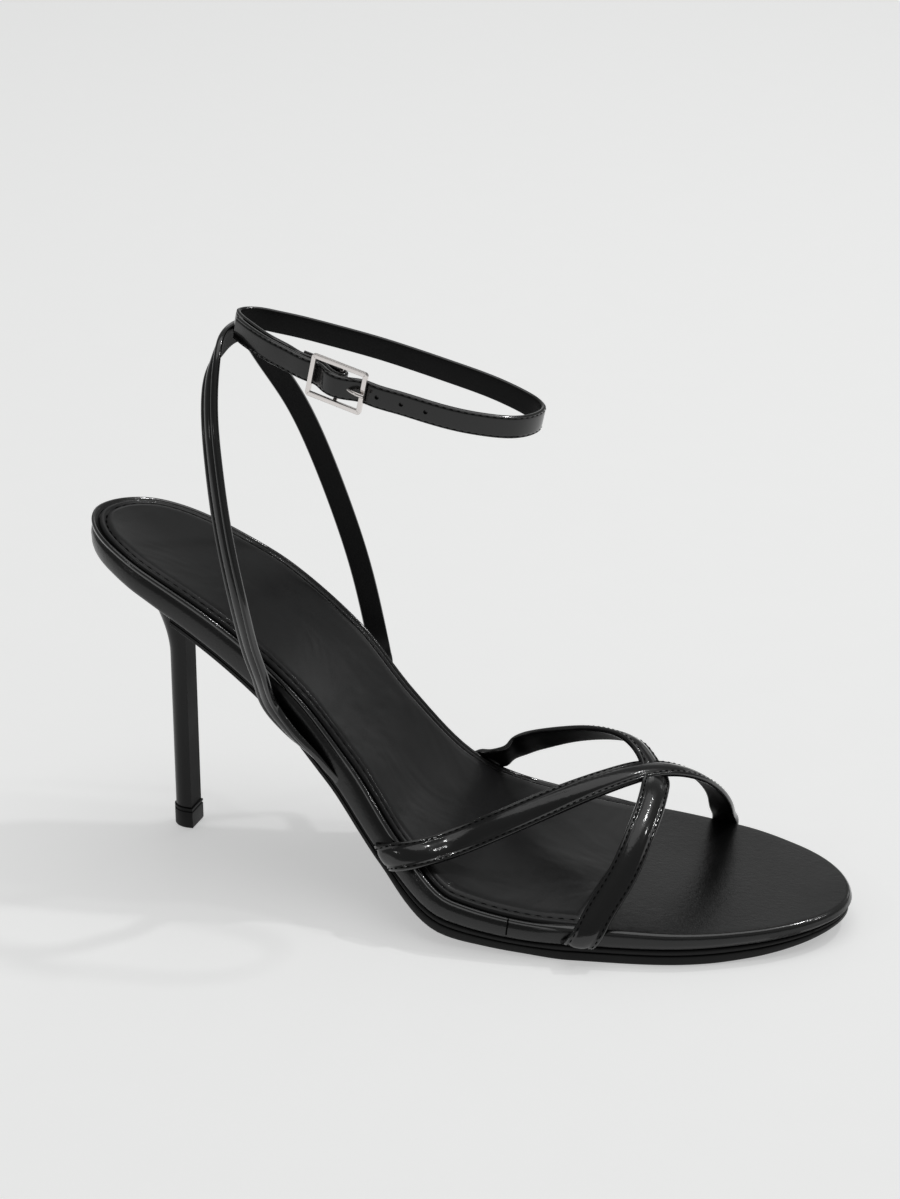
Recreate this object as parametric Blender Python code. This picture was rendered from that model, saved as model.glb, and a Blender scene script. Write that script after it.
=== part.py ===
"""Strappy heeled sandal, the right shoe, standing empty on its heel tip and forefoot.

The toe points along +X, the medial side is +Y and the floor is Z = 0.
The origin is on the floor, in the middle of the heel tip.
Everything is worked out from the footbed: its plan, its profile and its thickness.
"""

import math

import bpy
import numpy as np

# Footbed
FOOTBED_LENGTH = 0.2166
SEAT_HEIGHT = 0.0947
FOREFOOT_HEIGHT = 0.0092
BALL_WIDTH = 0.0785
BOARD_THICKNESS = 0.0075
BOARD_EDGE_RADIUS = 0.0016
CUP_DEPTH = 0.0012
UPRIGHT_BACK = 0.14

# Sock pad on the footbed
PAD_THICKNESS = 0.0013
PAD_MARGIN = 0.0022
PAD_FRONT = 0.156

# Outsole
TREAD_THICKNESS = 0.0048
SOLE_MARGIN = 0.0007
SHANK_MARGIN = 0.0012
SOLE_EDGE_STEP = 0.0004

# Heel
HEEL_SETBACK = 0.0240
SOLE_SETBACK = 0.0048
HEEL_DEPTH = 0.0060
HEEL_WIDTH = 0.0070
FLARE_HEIGHT = 0.0232
SEAT_MARGIN = 0.0030
TIP_HEIGHT = 0.0066
TIP_RIM = 0.0004

# Straps
TOE_STRAP_WIDTH = 0.0078
SIDE_STRAP_WIDTH = 0.0062
ANKLE_STRAP_WIDTH = 0.0064
STRAP_THICKNESS = 0.0018
ANKLE_STRAP_THICKNESS = 0.0014
TOE_ARCH_HEIGHT = 0.0278
TOE_ARCH_REACH = 0.0752
TUCK_LENGTH = 0.0050
SIDE_STRAP_RISE = 0.1185
SIDE_STRAP_SPREAD = 0.0376
SIDE_STRAP_LEAN = 0.0385
ANKLE_LOOP_BACK = 0.0184
ANKLE_LOOP_LEVEL = 0.1538
ANKLE_LOOP_LENGTH = 0.0884
ANKLE_LOOP_HALF_WIDTH = 0.0170
ANKLE_LOOP_TILT = math.radians(12.0)

# Buckle
BUCKLE_LENGTH = 0.0166
BUCKLE_WIRE = 0.0014
BUCKLE_CLEARANCE = 0.0014
BAR_RADIUS = 0.0006
BAR_DROP = 0.0015
PRONG_RADIUS = 0.00055
FOLD_THICKNESS = 0.0010
FOLD_LENGTH = 0.0130

# Room between pieces that meet
CLEARANCE = 0.0003

# Plan, profile and thickness of the board along the footbed's plan length.
# along: share of FOOTBED_LENGTH. height: share of the rise from forefoot to seat.
# lateral, medial: shares of BALL_WIDTH. thick: share of BOARD_THICKNESS. cup: share of CUP_DEPTH.
BOARD_COLUMNS = ("along", "height", "lateral", "medial", "thick", "cup")
BOARD_TABLE = (
    (0.000, 1.000, 0.000, 0.000, 1.00, 0.2),
    (0.059, 0.957, 0.237, 0.242, 1.00, 0.8),
    (0.112, 0.906, 0.293, 0.287, 1.00, 1.0),
    (0.163, 0.848, 0.312, 0.302, 1.04, 1.0),
    (0.228, 0.755, 0.321, 0.320, 1.08, 0.9),
    (0.317, 0.583, 0.330, 0.318, 1.10, 0.8),
    (0.394, 0.376, 0.357, 0.297, 1.06, 0.7),
    (0.472, 0.174, 0.452, 0.328, 0.98, 0.6),
    (0.552, 0.056, 0.553, 0.427, 0.88, 0.5),
    (0.644, 0.019, 0.538, 0.462, 0.78, 0.4),
    (0.728, 0.009, 0.494, 0.464, 0.70, 0.3),
    (0.822, 0.001, 0.428, 0.446, 0.60, 0.1),
    (0.906, -0.002, 0.311, 0.372, 0.52, 0.0),
    (1.000, 0.002, -0.034, 0.034, 0.42, 0.0),
)

# Outsole: thick is a share of TREAD_THICKNESS, margin goes from 0 at the shank to 1 at the tread.
SOLE_COLUMNS = ("along", "thick", "margin")
SOLE_TABLE = (
    (0.000, 0.46, 0.0),
    (0.440, 0.46, 0.0),
    (0.510, 0.80, 0.5),
    (0.560, 1.00, 1.0),
    (0.600, 0.90, 1.0),
    (0.644, 0.86, 1.0),
    (0.700, 1.00, 1.0),
    (0.860, 1.00, 1.0),
    (0.906, 0.92, 1.0),
    (0.960, 0.70, 1.0),
    (1.000, 0.44, 1.0),
)

# Toe straps. along: from the strap's rear end, share of TOE_ARCH_REACH. across: share of
# BALL_WIDTH, positive to the medial side. rise: over the board, share of TOE_ARCH_HEIGHT.
UPPER_STRAP_TABLE = (
    (0.200, -0.372, 0.250),
    (0.344, -0.283, 0.518),
    (0.488, -0.186, 0.730),
    (0.614, -0.089, 0.867),
    (0.722, 0.006, 0.942),
    (0.811, 0.102, 0.939),
    (0.905, 0.196, 0.830),
    (0.962, 0.290, 0.610),
    (0.986, 0.385, 0.300),
)
LOWER_STRAP_TABLE = (
    (0.187, 0.369, 0.290),
    (0.289, 0.344, 0.580),
    (0.467, 0.306, 0.863),
    (0.613, 0.252, 1.010),
    (0.727, 0.183, 1.030),
    (0.811, 0.102, 0.885),
    (0.844, 0.000, 0.906),
    (0.858, -0.115, 0.830),
    (0.858, -0.229, 0.710),
    (0.831, -0.369, 0.410),
)
TOE_ARCH_START = 0.458

# Height over the board of the axis that the toe straps' faces look away from, share of
# TOE_ARCH_HEIGHT. Under the height TURN_UP_UNDER the axis drops, TURN_UP for each step down.
FOOT_AXIS = 0.15
TURN_UP_UNDER = 0.7
TURN_UP = 1.4

# An end of a strap on the board: the share of FOOTBED_LENGTH, the side, -1 lateral or 1 medial,
# and the slant, which is how far the strap runs forward for each step down.
UPPER_STRAP_ENDS = ((0.485, -1, -0.72), (0.799, 1, 0.0))
LOWER_STRAP_ENDS = ((0.494, 1, -0.40), (0.722, -1, -0.60))

# The legs of the side straps, from the waist of the sole to the back of the ankle.
# rise, spread and lean are shares of SIDE_STRAP_RISE, SIDE_STRAP_SPREAD and SIDE_STRAP_LEAN.
LATERAL_TABLE = (
    (0.216, 0.896, 0.433),
    (0.278, 0.944, 0.470),
)
MEDIAL_TABLE = (
    (0.057, 0.800, 0.170),
    (0.205, 0.985, 0.353),
)
SIDE_TABLE = (
    (0.373, 1.000, 0.514),
    (0.543, 0.910, 0.665),
    (0.698, 0.740, 0.803),
    (0.819, 0.510, 0.917),
    (0.868, 0.390, 0.945),
    (0.905, 0.240, 0.956),
)
SIDE_STRAP_TOP = (0.919, 0.966)
SIDE_STRAP_FOOT = 0.365

# How the face of a side strap turns: back all along it, more over the knee's share of the rise,
# and down under the hem's share.
SIDE_STRAP_TWIST = 0.45
SIDE_STRAP_KNEE = 0.855
SIDE_STRAP_ROLL = 4.6
SIDE_STRAP_HEM = 0.12
SIDE_STRAP_TUCK = 8.0
MEDIAL_STRAP_END = (0.345, 1, 0.9)

# Lateral foot of the side straps, from its end: along the board's lower edge and in under it.
# along: share of FOOTBED_LENGTH. out: beyond the edge, share of BOARD_THICKNESS. depth: share of
# the board's own thickness. turn: how far the strap's face has turned down, in degrees.
LATERAL_FOOT_TABLE = (
    (0.396, -0.38, 0.83, 88),
    (0.382, -0.12, 0.80, 72),
    (0.366, 0.12, 0.80, 55),
    (0.350, 0.28, 0.86, 45),
    (0.332, 0.33, 0.88, 35),
    (0.315, 0.36, 0.82, 25),
)
LATERAL_FOOT_RUN = 0.032

# Half widths of the ankle loop. along: share of ANKLE_LOOP_LENGTH, half widths: shares of
# ANKLE_LOOP_HALF_WIDTH, on the lateral and the medial side.
LOOP_COLUMNS = ("along", "lateral", "medial")
LOOP_TABLE = (
    (0.000, 0.00, 0.00),
    (0.020, 0.19, 0.17),
    (0.070, 0.42, 0.31),
    (0.250, 0.86, 0.55),
    (0.500, 1.10, 0.68),
    (0.750, 1.04, 0.64),
    (0.930, 0.70, 0.42),
    (1.000, 0.00, 0.00),
)
BUCKLE_STATION = 0.436
TAIL_STATION = 0.022

RINGS = 44
EDGE_STEP = 0.008
FINE_COUNT = 600
LONGEST_STEP = 0.0050
LARGEST_TURN = math.radians(22)
COLORS = {
    "board_leather": (0.018, 0.018, 0.018, 0.42, 0.0),
    "sock_leather": (0.022, 0.022, 0.022, 0.50, 0.0),
    "strap_leather": (0.012, 0.012, 0.012, 0.25, 0.0),
    "sole_rubber": (0.020, 0.020, 0.020, 0.60, 0.0),
    "heel_cover": (0.014, 0.014, 0.014, 0.35, 0.0),
    "tip_rubber": (0.010, 0.010, 0.010, 0.55, 0.0),
    "metal": (0.80, 0.78, 0.76, 0.18, 1.0),
}


def clear_scene():
    for thing in list(bpy.data.objects):
        bpy.data.objects.remove(thing, do_unlink=True)


def material(name):
    found = bpy.data.materials.get(name)
    if found:
        return found
    red, green, blue, roughness, metallic = COLORS[name]
    made = bpy.data.materials.new(name)
    made.use_nodes = True
    shader = made.node_tree.nodes["Principled BSDF"]
    shader.inputs["Base Color"].default_value = (red, green, blue, 1.0)
    shader.inputs["Roughness"].default_value = roughness
    shader.inputs["Metallic"].default_value = metallic
    return made


def smooth(known, values, at):
    """Monotone cubic curve through a table's values."""
    known = np.asarray(known, float)
    values = np.asarray(values, float)
    steps = np.diff(known)
    slopes = np.diff(values) / steps
    tangents = np.zeros(len(known))
    tangents[0] = slopes[0]
    tangents[-1] = slopes[-1]
    for i in range(1, len(known) - 1):
        if slopes[i - 1] * slopes[i] > 0:
            before = 2 * steps[i] + steps[i - 1]
            after = steps[i] + 2 * steps[i - 1]
            tangents[i] = (before + after) / (before / slopes[i - 1] + after / slopes[i])
    at = np.clip(np.asarray(at, float), known[0], known[-1])
    i = np.clip(np.searchsorted(known, at, side="right") - 1, 0, len(steps) - 1)
    t = (at - known[i]) / steps[i]
    start = values[i] * (1 + 2 * t) * (1 - t) ** 2 + tangents[i] * steps[i] * t * (1 - t) ** 2
    end = values[i + 1] * t * t * (3 - 2 * t) + tangents[i + 1] * steps[i] * t * t * (t - 1)
    return start + end


def column(table, columns, name, at, rounded=False):
    """One column of a table at a share of the length; rounded gives blunt, round ends."""
    rows = np.array(table)
    known = rows[:, 0]
    if rounded:
        known = np.arccos(1 - 2 * known)
        at = np.arccos(1 - 2 * np.clip(np.asarray(at, float), 0, 1))
    return smooth(known, rows[:, columns.index(name)], at)


def spline(points, count):
    """Natural cubic curve through points, resampled at equal steps along its length."""
    points = np.asarray(points, float)
    knots = np.concatenate([[0], np.cumsum(np.linalg.norm(np.diff(points, axis=0), axis=1))])
    steps = np.diff(knots)
    size = len(points)
    system = np.zeros((size, size))
    right = np.zeros((size, points.shape[1]))
    system[0, 0] = 1.0
    system[-1, -1] = 1.0
    for i in range(1, size - 1):
        system[i, i - 1 : i + 2] = steps[i - 1], 2 * (steps[i - 1] + steps[i]), steps[i]
        bend = (points[i + 1] - points[i]) / steps[i] - (points[i] - points[i - 1]) / steps[i - 1]
        right[i] = 6 * bend
    second = np.linalg.solve(system, right)

    def at(values):
        i = np.clip(np.searchsorted(knots, values, side="right") - 1, 0, size - 2)
        h = steps[i][:, None]
        a = (knots[i + 1][:, None] - values[:, None]) / h
        b = 1 - a
        curve = a * points[i] + b * points[i + 1]
        return curve + ((a**3 - a) * second[i] + (b**3 - b) * second[i + 1]) * h * h / 6

    fine = at(np.linspace(0, knots[-1], 40 * size))
    lengths = np.concatenate([[0], np.cumsum(np.linalg.norm(np.diff(fine, axis=0), axis=1))])
    wanted = np.linspace(0, lengths[-1], count)
    return np.stack([np.interp(wanted, lengths, fine[:, k]) for k in range(points.shape[1])], 1)


def unit(vectors):
    vectors = np.asarray(vectors, float)
    return vectors / np.linalg.norm(vectors, axis=-1, keepdims=True)


def board_value(name, along):
    rounded = name in ("lateral", "medial")
    return column(BOARD_TABLE, BOARD_COLUMNS, name, along, rounded)


def along_of(x):
    return (np.asarray(x, float) + HEEL_SETBACK) / FOOTBED_LENGTH


def x_of(along):
    return np.asarray(along, float) * FOOTBED_LENGTH - HEEL_SETBACK


def top_height(x):
    rise = SEAT_HEIGHT - FOREFOOT_HEIGHT
    return FOREFOOT_HEIGHT + rise * board_value("height", along_of(x))


def profile_normal(x):
    """Unit normal of the footbed's profile, in the XZ plane, pointing up."""
    step = 0.001
    slope = (top_height(x + step) - top_height(x - step)) / (2 * step)
    return unit(np.stack([-slope, np.zeros_like(slope), np.ones_like(slope)], -1))


def depth_direction(x):
    """Upward direction of the sole's thickness: square to the profile, upright at the heel's back."""
    lean = np.clip(along_of(x) / UPRIGHT_BACK, 0, 1)
    normal = profile_normal(x)
    return unit(normal * np.stack([lean, np.ones_like(lean), np.ones_like(lean)], -1))


def bed_point(x, y, depth):
    """The point at a depth below the footbed."""
    x = np.asarray(x, float)
    base = np.stack([x, np.broadcast_to(y, x.shape), top_height(x)], -1)
    return base - depth_direction(x) * np.broadcast_to(depth, x.shape)[..., None]


def under_height(x, extra):
    """Height of the board's underside, plus some extra depth, straight under a plan place."""
    start = np.asarray(x, float)
    for _ in range(6):
        depth = board_thickness(start) + extra
        start = x + depth_direction(start)[..., 0] * depth
    return bed_point(start, 0.0, board_thickness(start) + extra)[..., 2]


def board_thickness(x):
    return BOARD_THICKNESS * board_value("thick", along_of(x))


def cup(x, y):
    """How far the footbed is hollowed at a point, none at its edges."""
    along = along_of(x)
    lateral = board_value("lateral", along) * BALL_WIDTH
    medial = board_value("medial", along) * BALL_WIDTH
    middle = (medial - lateral) / 2
    half = np.maximum((medial + lateral) / 2, 1e-4)
    share = np.clip(np.abs(y - middle) / half, 0, 1)
    return CUP_DEPTH * board_value("cup", along) * (1 - share**2)


def stations(start, end, count):
    """Shares of the footbed, close together at a round end."""
    angles = np.linspace(math.acos(1 - 2 * start), math.acos(1 - 2 * end), count + 1)
    return (1 - np.cos(angles)) / 2


def outline(start, end, count):
    """Plan loop of the footbed between two stations, and its inward normals.

    It starts at the rear, follows the lateral edge to the front and comes back on the medial edge.
    """
    along = stations(start, end, count)
    x = x_of(along)
    lateral = -board_value("lateral", along) * BALL_WIDTH
    medial = board_value("medial", along) * BALL_WIDTH
    near = np.stack([x, lateral], 1)
    far = np.stack([x, medial], 1)
    if start == 0:
        far = far[1:]
    if end == 1:
        near[-1, 1] = (lateral[-1] + medial[-1]) / 2
        far = far[:-1]
    loop = np.concatenate([near, far[::-1]])
    ahead = np.roll(loop, -1, axis=0)
    behind = np.roll(loop, 1, axis=0)
    if start > 0:
        behind[0] = 2 * loop[0] - loop[1]
        ahead[-1] = 2 * loop[-1] - loop[-2]
    if end < 1:
        ahead[len(near) - 1] = 2 * near[-1] - near[-2]
        behind[len(near)] = 2 * loop[len(near)] - loop[len(near) + 1]
    tangent = unit(ahead - behind)
    return loop, np.stack([-tangent[:, 1], tangent[:, 0]], 1), len(near)


def link(name, points, faces, colour, smooth_angle=35):
    mesh = bpy.data.meshes.new(name)
    mesh.from_pydata([tuple(float(v) for v in point) for point in points], [], faces)
    mesh.update()
    mesh.shade_smooth()
    mesh.set_sharp_from_angle(angle=math.radians(smooth_angle))
    mesh.materials.append(material(colour))
    made = bpy.data.objects.new(name, mesh)
    bpy.context.scene.collection.objects.link(made)
    return made


def slab(name, loops, near_count, strips, colour, shared_rear=1):
    """A closed solid from loops that go from its bottom, round its side, to its top.

    The bottom and top are filled with rows of points between the loop's two sides.
    strips holds, for bottom and top, the shares across and a function that places them.
    """
    size = len(loops[0])
    points = [point for loop in loops for point in loop]
    faces = []
    for k in range(len(loops) - 1):
        for i in range(size):
            j = (i + 1) % size
            faces.append((k * size + i, k * size + j, (k + 1) * size + j, (k + 1) * size + i))
    for place, loop_index in ((0, 0), (1, len(loops) - 1)):
        shares, placed = strips[place]
        rows = fill_rows(size, near_count, shared_rear)
        base = loop_index * size
        ids = []
        for left, right in rows:
            if left == right:
                ids.append([base + left] * (len(shares) + 2))
                continue
            row = [base + left]
            open_end = left == near_count - 1 or right == size - 1 and not shared_rear
            for share in () if open_end else shares:
                start = np.asarray(loops[loop_index][left])
                end = np.asarray(loops[loop_index][right])
                points.append(placed(start + (end - start) * share))
                row.append(len(points) - 1)
            row.append(base + right)
            ids.append(row)
        for a, b in zip(ids[:-1], ids[1:]):
            if len(a) != len(b):
                across = [a[0]] + b + a[:0:-1]
                faces.append(tuple(across if place else across[::-1]))
                continue
            for k in range(len(shares) + 1):
                quad = [a[k], b[k], b[k + 1], a[k + 1]]
                quad = list(dict.fromkeys(quad))
                if len(quad) > 2:
                    faces.append(tuple(quad if place else quad[::-1]))
    return link(name, points, faces, colour)


def fill_rows(size, near_count, shared_rear):
    """Pairs of loop places that face each other across the shoe, from rear to front."""
    rows = []
    for i in range(near_count):
        if i < shared_rear:
            rows.append((i, i))
            continue
        partner = size - 1 - (i - shared_rear)
        rows.append((i, partner if partner >= near_count else i))
    return rows


def edge_loop(loop, inward, inset, depth):
    """A plan loop moved inward, then set at a depth below the footbed."""
    moved = loop + inward * inset
    return bed_point(moved[:, 0], moved[:, 1], depth)


def make_board():
    loop, inward, near_count = outline(0, 1, RINGS)
    thick = board_thickness(loop[:, 0])
    radius = BOARD_EDGE_RADIUS
    bulge = 0.15 * radius
    steps = (
        (radius, thick),
        (0.35 * radius, thick - 0.15 * radius),
        (0.0, thick - 0.6 * radius),
        (-bulge, thick * 0.5),
        (0.0, radius),
        (0.3 * radius, 0.3 * radius),
        (radius, 0.0),
    )
    loops = [edge_loop(loop, inward, inset, depth) for inset, depth in steps]

    def on_top(point):
        return point - profile_normal(point[0]) * cup(point[0], point[1])

    across = np.linspace(0, 1, 7)[1:-1]
    strips = (((0.5,), lambda point: point), (across, on_top))
    return slab("insole_board", loops, near_count, strips, "board_leather")


def make_pad():
    front = PAD_FRONT / FOOTBED_LENGTH
    loop, inward, near_count = outline(0, front, RINGS - 10)
    gap = CLEARANCE
    top = gap + PAD_THICKNESS
    steps = (
        (PAD_MARGIN, -gap),
        (PAD_MARGIN, -gap - 0.6 * PAD_THICKNESS),
        (PAD_MARGIN + 0.5 * PAD_THICKNESS, -top),
    )
    loops = [edge_loop(loop, inward, inset, depth) for inset, depth in steps]

    def sunk(point):
        return point - profile_normal(point[0]) * cup(point[0], point[1])

    across = np.linspace(0, 1, 7)[1:-1]
    strips = ((across, sunk), (across, sunk))
    return slab("sock_pad", loops, near_count, strips, "sock_leather")


def sole_value(name, along):
    return column(SOLE_TABLE, SOLE_COLUMNS, name, along)


def make_outsole():
    rear = HEEL_DEPTH / 2 + SOLE_SETBACK
    loop, inward, near_count = outline(float(along_of(rear)), 1, RINGS)
    along = along_of(loop[:, 0])
    margin = SHANK_MARGIN + (SOLE_MARGIN - SHANK_MARGIN) * sole_value("margin", along)
    board = board_thickness(loop[:, 0])
    thick = TREAD_THICKNESS * sole_value("thick", along)
    step = SOLE_EDGE_STEP

    def level(inset, extra):
        moved = loop + inward * (margin + inset)[:, None]
        placed = bed_point(moved[:, 0], moved[:, 1], board + extra)
        behind = placed[:, 0] < rear
        placed[behind, 0] = rear
        placed[behind, 2] = under_height(np.full(behind.sum(), rear), extra[behind])
        placed[:, 2] = np.maximum(placed[:, 2], 0)
        return placed

    flush = np.zeros(len(loop))
    loops = [
        level(flush + 2.5 * step, CLEARANCE + thick),
        level(flush + 0.5 * step, CLEARANCE + thick - step),
        level(flush, CLEARANCE + 0.5 * thick),
        level(flush + step, CLEARANCE + 0.4 * thick),
        level(flush + step, CLEARANCE + flush),
    ]
    strips = (((0.25, 0.5, 0.75), lambda point: point), ((0.5,), lambda point: point))
    return slab("outsole", loops, near_count, strips, "sole_rubber", shared_rear=0)


def d_section(depth, width, count):
    """D-shaped plan of the heel: a flat front and a round back, as far round as count points."""
    turns = np.linspace(-math.pi / 2, math.pi / 2, count // 2 + 1)
    straight = 0.30 * depth
    middle = depth / 2 - straight
    back = [(middle - (depth - straight) * math.cos(a), -width / 2 * math.sin(a)) for a in turns]
    rows = count - len(back)
    side = np.linspace(-width / 2, width / 2, rows + 2)[1:-1]
    front = [(depth / 2, y) for y in side]
    return np.array(back + front)


def make_heel():
    count = 36
    core = d_section(HEEL_DEPTH, HEEL_WIDTH, count)
    breast = HEEL_DEPTH / 2
    rear, near, rows = outline(0, float(along_of(breast)), 12)
    seat = rear + near * SEAT_MARGIN
    seat[:, 0] = np.minimum(seat[:, 0], breast)
    seat = resample_like(seat, core)
    top = under_height(seat[:, 0], CLEARANCE)
    column_top = top.min() - FLARE_HEIGHT
    loops = []
    for level in (0.0, 0.06, 0.14, 0.24, 0.36, 0.5, 0.66, 0.82, 1.0):
        keep_x = (1 - level) ** 1.8
        keep_y = (1 - level) ** 4
        x = core[:, 0] + (seat[:, 0] - core[:, 0]) * keep_x
        y = core[:, 1] + (seat[:, 1] - core[:, 1]) * keep_y
        z = top * (1 - level) + column_top * level
        loops.append(np.stack([x, y, z], 1))
    base = TIP_HEIGHT + CLEARANCE
    for height in (0.5, 0.0):
        z = base + (column_top - base) * height
        loops.append(np.stack([core[:, 0], core[:, 1], np.full(count, z)], 1))
    return tube("heel", loops[::-1], "heel_cover")


def resample_like(loop, model):
    """A closed plan loop resampled so that each point lies in the direction of the model's."""
    closed = np.concatenate([loop, loop[:1]])
    lengths = np.concatenate([[0], np.cumsum(np.linalg.norm(np.diff(closed, axis=0), axis=1))])
    fine = np.linspace(0, lengths[-1], 721)[:-1]
    dense = np.stack([np.interp(fine, lengths, closed[:, k]) for k in (0, 1)], 1)
    centre = np.array([model[:, 0].max() - 1e-4, 0.0])
    angles = np.arctan2(dense[:, 1], dense[:, 0] - centre[0])
    picked = []
    for point in model:
        on_front = point[0] > centre[0]
        if on_front:
            width = np.abs(model[:, 1]).max()
            reach = np.abs(dense[:, 1]).max()
            picked.append((model[:, 0].max(), point[1] / width * reach))
            continue
        angle = math.atan2(point[1], point[0] - centre[0])
        gap = np.abs(np.angle(np.exp(1j * (angles - angle))))
        picked.append(tuple(dense[int(gap.argmin())]))
    return np.array(picked)


def tube(name, loops, colour, smooth_angle=35):
    """A closed solid from a pile of loops with flat ends; the first loop is the bottom."""
    size = len(loops[0])
    points = [point for loop in loops for point in loop]
    faces = [tuple(range(size))[::-1]]
    for k in range(len(loops) - 1):
        for i in range(size):
            j = (i + 1) % size
            faces.append((k * size + i, k * size + j, (k + 1) * size + j, (k + 1) * size + i))
    faces.append(tuple((len(loops) - 1) * size + i for i in range(size)))
    return link(name, points, faces, colour, smooth_angle)


def make_heel_tip():
    count = 36
    core = d_section(HEEL_DEPTH + 2 * TIP_RIM, HEEL_WIDTH + 2 * TIP_RIM, count)
    loops = []
    for height, inset in ((0.0, 0.0004), (0.0004, 0.0), (0.0016, 0.0), (0.9, 0.0), (1.0, 0.0003)):
        z = height * TIP_HEIGHT if height >= 0.9 else height
        shrunk = core * (1 - inset / (HEEL_DEPTH / 2))
        loops.append(np.column_stack([shrunk, np.full(count, z)]))
    return tube("heel_tip", loops, "tip_rubber")


def paced(route):
    """Which points of a fine route to keep: few on a straight run, more where it bends."""
    legs = np.diff(route, axis=0)
    lengths = np.linalg.norm(legs, axis=1)
    ways = legs / lengths[:, None]
    bends = np.arccos(np.clip(np.sum(ways[1:] * ways[:-1], axis=1), -1, 1))
    cost = lengths / LONGEST_STEP
    cost[1:] += bends / LARGEST_TURN
    total = np.concatenate([[0], np.cumsum(cost)])
    at = np.linspace(0, total[-1], math.ceil(total[-1]) + 1)
    return np.unique(np.interp(at, total, np.arange(len(route))).round().astype(int))


def strap_axes(path, facing):
    """Outward and sideways directions of a strap along its path."""
    legs = unit(np.diff(path, axis=0))
    tangent = unit(np.concatenate([legs[:1], legs[:-1] + legs[1:], legs[-1:]]))
    facing = unit(facing - tangent * np.sum(facing * tangent, axis=1)[:, None])
    return facing, np.cross(facing, tangent)


def ribbon(name, path, facing, width, thickness, colour, crown=0.35):
    """A strap swept along a path; facing is the direction its outer face looks at each point."""
    facing, side = strap_axes(path, facing)
    thickness = np.broadcast_to(thickness, len(path))[:, None]
    edge = 0.35 * float(thickness.min())
    # Each corner: share of the half width, edge steps in from the side, share of the thickness
    section = (
        (-1, 1, -0.5),
        (1, -1, -0.5),
        (1, 0, -0.2),
        (1, 0, 0.5 - crown),
        (1, -2, 0.38),
        (0, 0, 0.5),
        (-1, 2, 0.38),
        (-1, 0, 0.5 - crown),
        (-1, 0, -0.2),
    )
    loops = [
        path + side * (share * width / 2 + steps * edge) + facing * thickness * level
        for share, steps, level in section
    ]
    rings = [[loops[k][i] for k in range(len(section))] for i in range(len(path))]
    return tube(name, rings, colour)


def edge_frame(along, side):
    """A place on the board's top edge, with its outward, upward and forward directions.

    side is -1 on the lateral edge and 1 on the medial edge.
    """
    name = "lateral" if side < 0 else "medial"

    def place(share):
        y = side * float(board_value(name, share)) * BALL_WIDTH
        return bed_point(np.array(x_of(share)), y, 0.0)

    forward = unit(place(along + EDGE_STEP) - place(along - EDGE_STEP))
    upward = profile_normal(np.array(x_of(along)))
    outward = side * unit(np.cross(upward, forward))
    return place(along), outward, upward, forward


def tucked_depth(along):
    """Depth of the middle of a tucked strap under the footbed."""
    return float(board_thickness(x_of(along))) - STRAP_THICKNESS / 2 - CLEARANCE / 2


def notch(board, end, width):
    """Cuts the room for a strap's tucked end out of the board's lower edge."""
    along, side, slant = end
    edge, outward, upward, forward = edge_frame(along, side)
    under = tucked_depth(along)
    reach = math.hypot(1, slant)
    inner = TUCK_LENGTH + 1.5 * CLEARANCE + width / 2 * abs(slant) / reach
    corners = []
    for depth in (under - STRAP_THICKNESS / 2 - 1.5 * CLEARANCE, under + 2 * STRAP_THICKNESS):
        for out in (-inner, 2 * STRAP_THICKNESS):
            for step in (-1, 1):
                ahead = slant * (under - out) + step * (width / 2 + 2 * CLEARANCE) * reach
                corners.append(edge + outward * out - upward * depth + forward * ahead)
    faces = [(0, 1, 3, 2), (4, 6, 7, 5), (0, 4, 5, 1), (2, 3, 7, 6), (0, 2, 6, 4), (1, 5, 7, 3)]
    if side < 0:
        faces = [face[::-1] for face in faces]
    block = helper(link("notch", corners, faces, "metal", 35))
    boolean(board, block, "DIFFERENCE")


def anchor(end):
    """Where a strap goes down the board's side and under it: points and facing directions.

    end is the station, the side and the slant, which is how far the strap runs forward for each
    step down. The first point is above the edge, and the last is the strap's end.
    """
    along, side, slant = end
    edge, outward, upward, forward = edge_frame(along, side)
    under = tucked_depth(along)
    clear = 2.2 * CLEARANCE + STRAP_THICKNESS / 2 + 0.15 * BOARD_EDGE_RADIUS
    turn = STRAP_THICKNESS * 0.75
    over = CLEARANCE + STRAP_THICKNESS / 2 + PAD_THICKNESS
    rows = (
        (-0.3 * over, -1.15 * over, -over, 0.8, 0.8),
        (clear, 0.15 * under, 0.15 * under, 1, 0.15),
        (clear, under - turn, under - turn, 1, -0.10),
        (clear - 0.3 * turn, under - 0.3 * turn, under - 0.4 * turn, 1, -1),
        (clear - turn, under, under + 0.3 * turn, 0.10, -1),
        (-TUCK_LENGTH, under, under + TUCK_LENGTH, 0, -1),
    )
    points = [
        edge + outward * out - upward * depth + forward * slant * run
        for out, depth, run, _, _ in rows
    ]
    directions = [outward * sideways + upward * rise for _, _, _, sideways, rise in rows]
    return points, directions


def lateral_foot():
    """Points and facing directions of the side straps' lateral foot, from its end up."""
    points = []
    directions = []
    for along, out, depth, turn in LATERAL_FOOT_TABLE:
        edge, outward, upward, _ = edge_frame(along, -1)
        thick = float(board_thickness(x_of(along)))
        angle = math.radians(turn)
        points.append(edge + outward * out * BOARD_THICKNESS - upward * depth * thick)
        directions.append(outward * math.cos(angle) - upward * math.sin(angle))
    return points, directions


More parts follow.
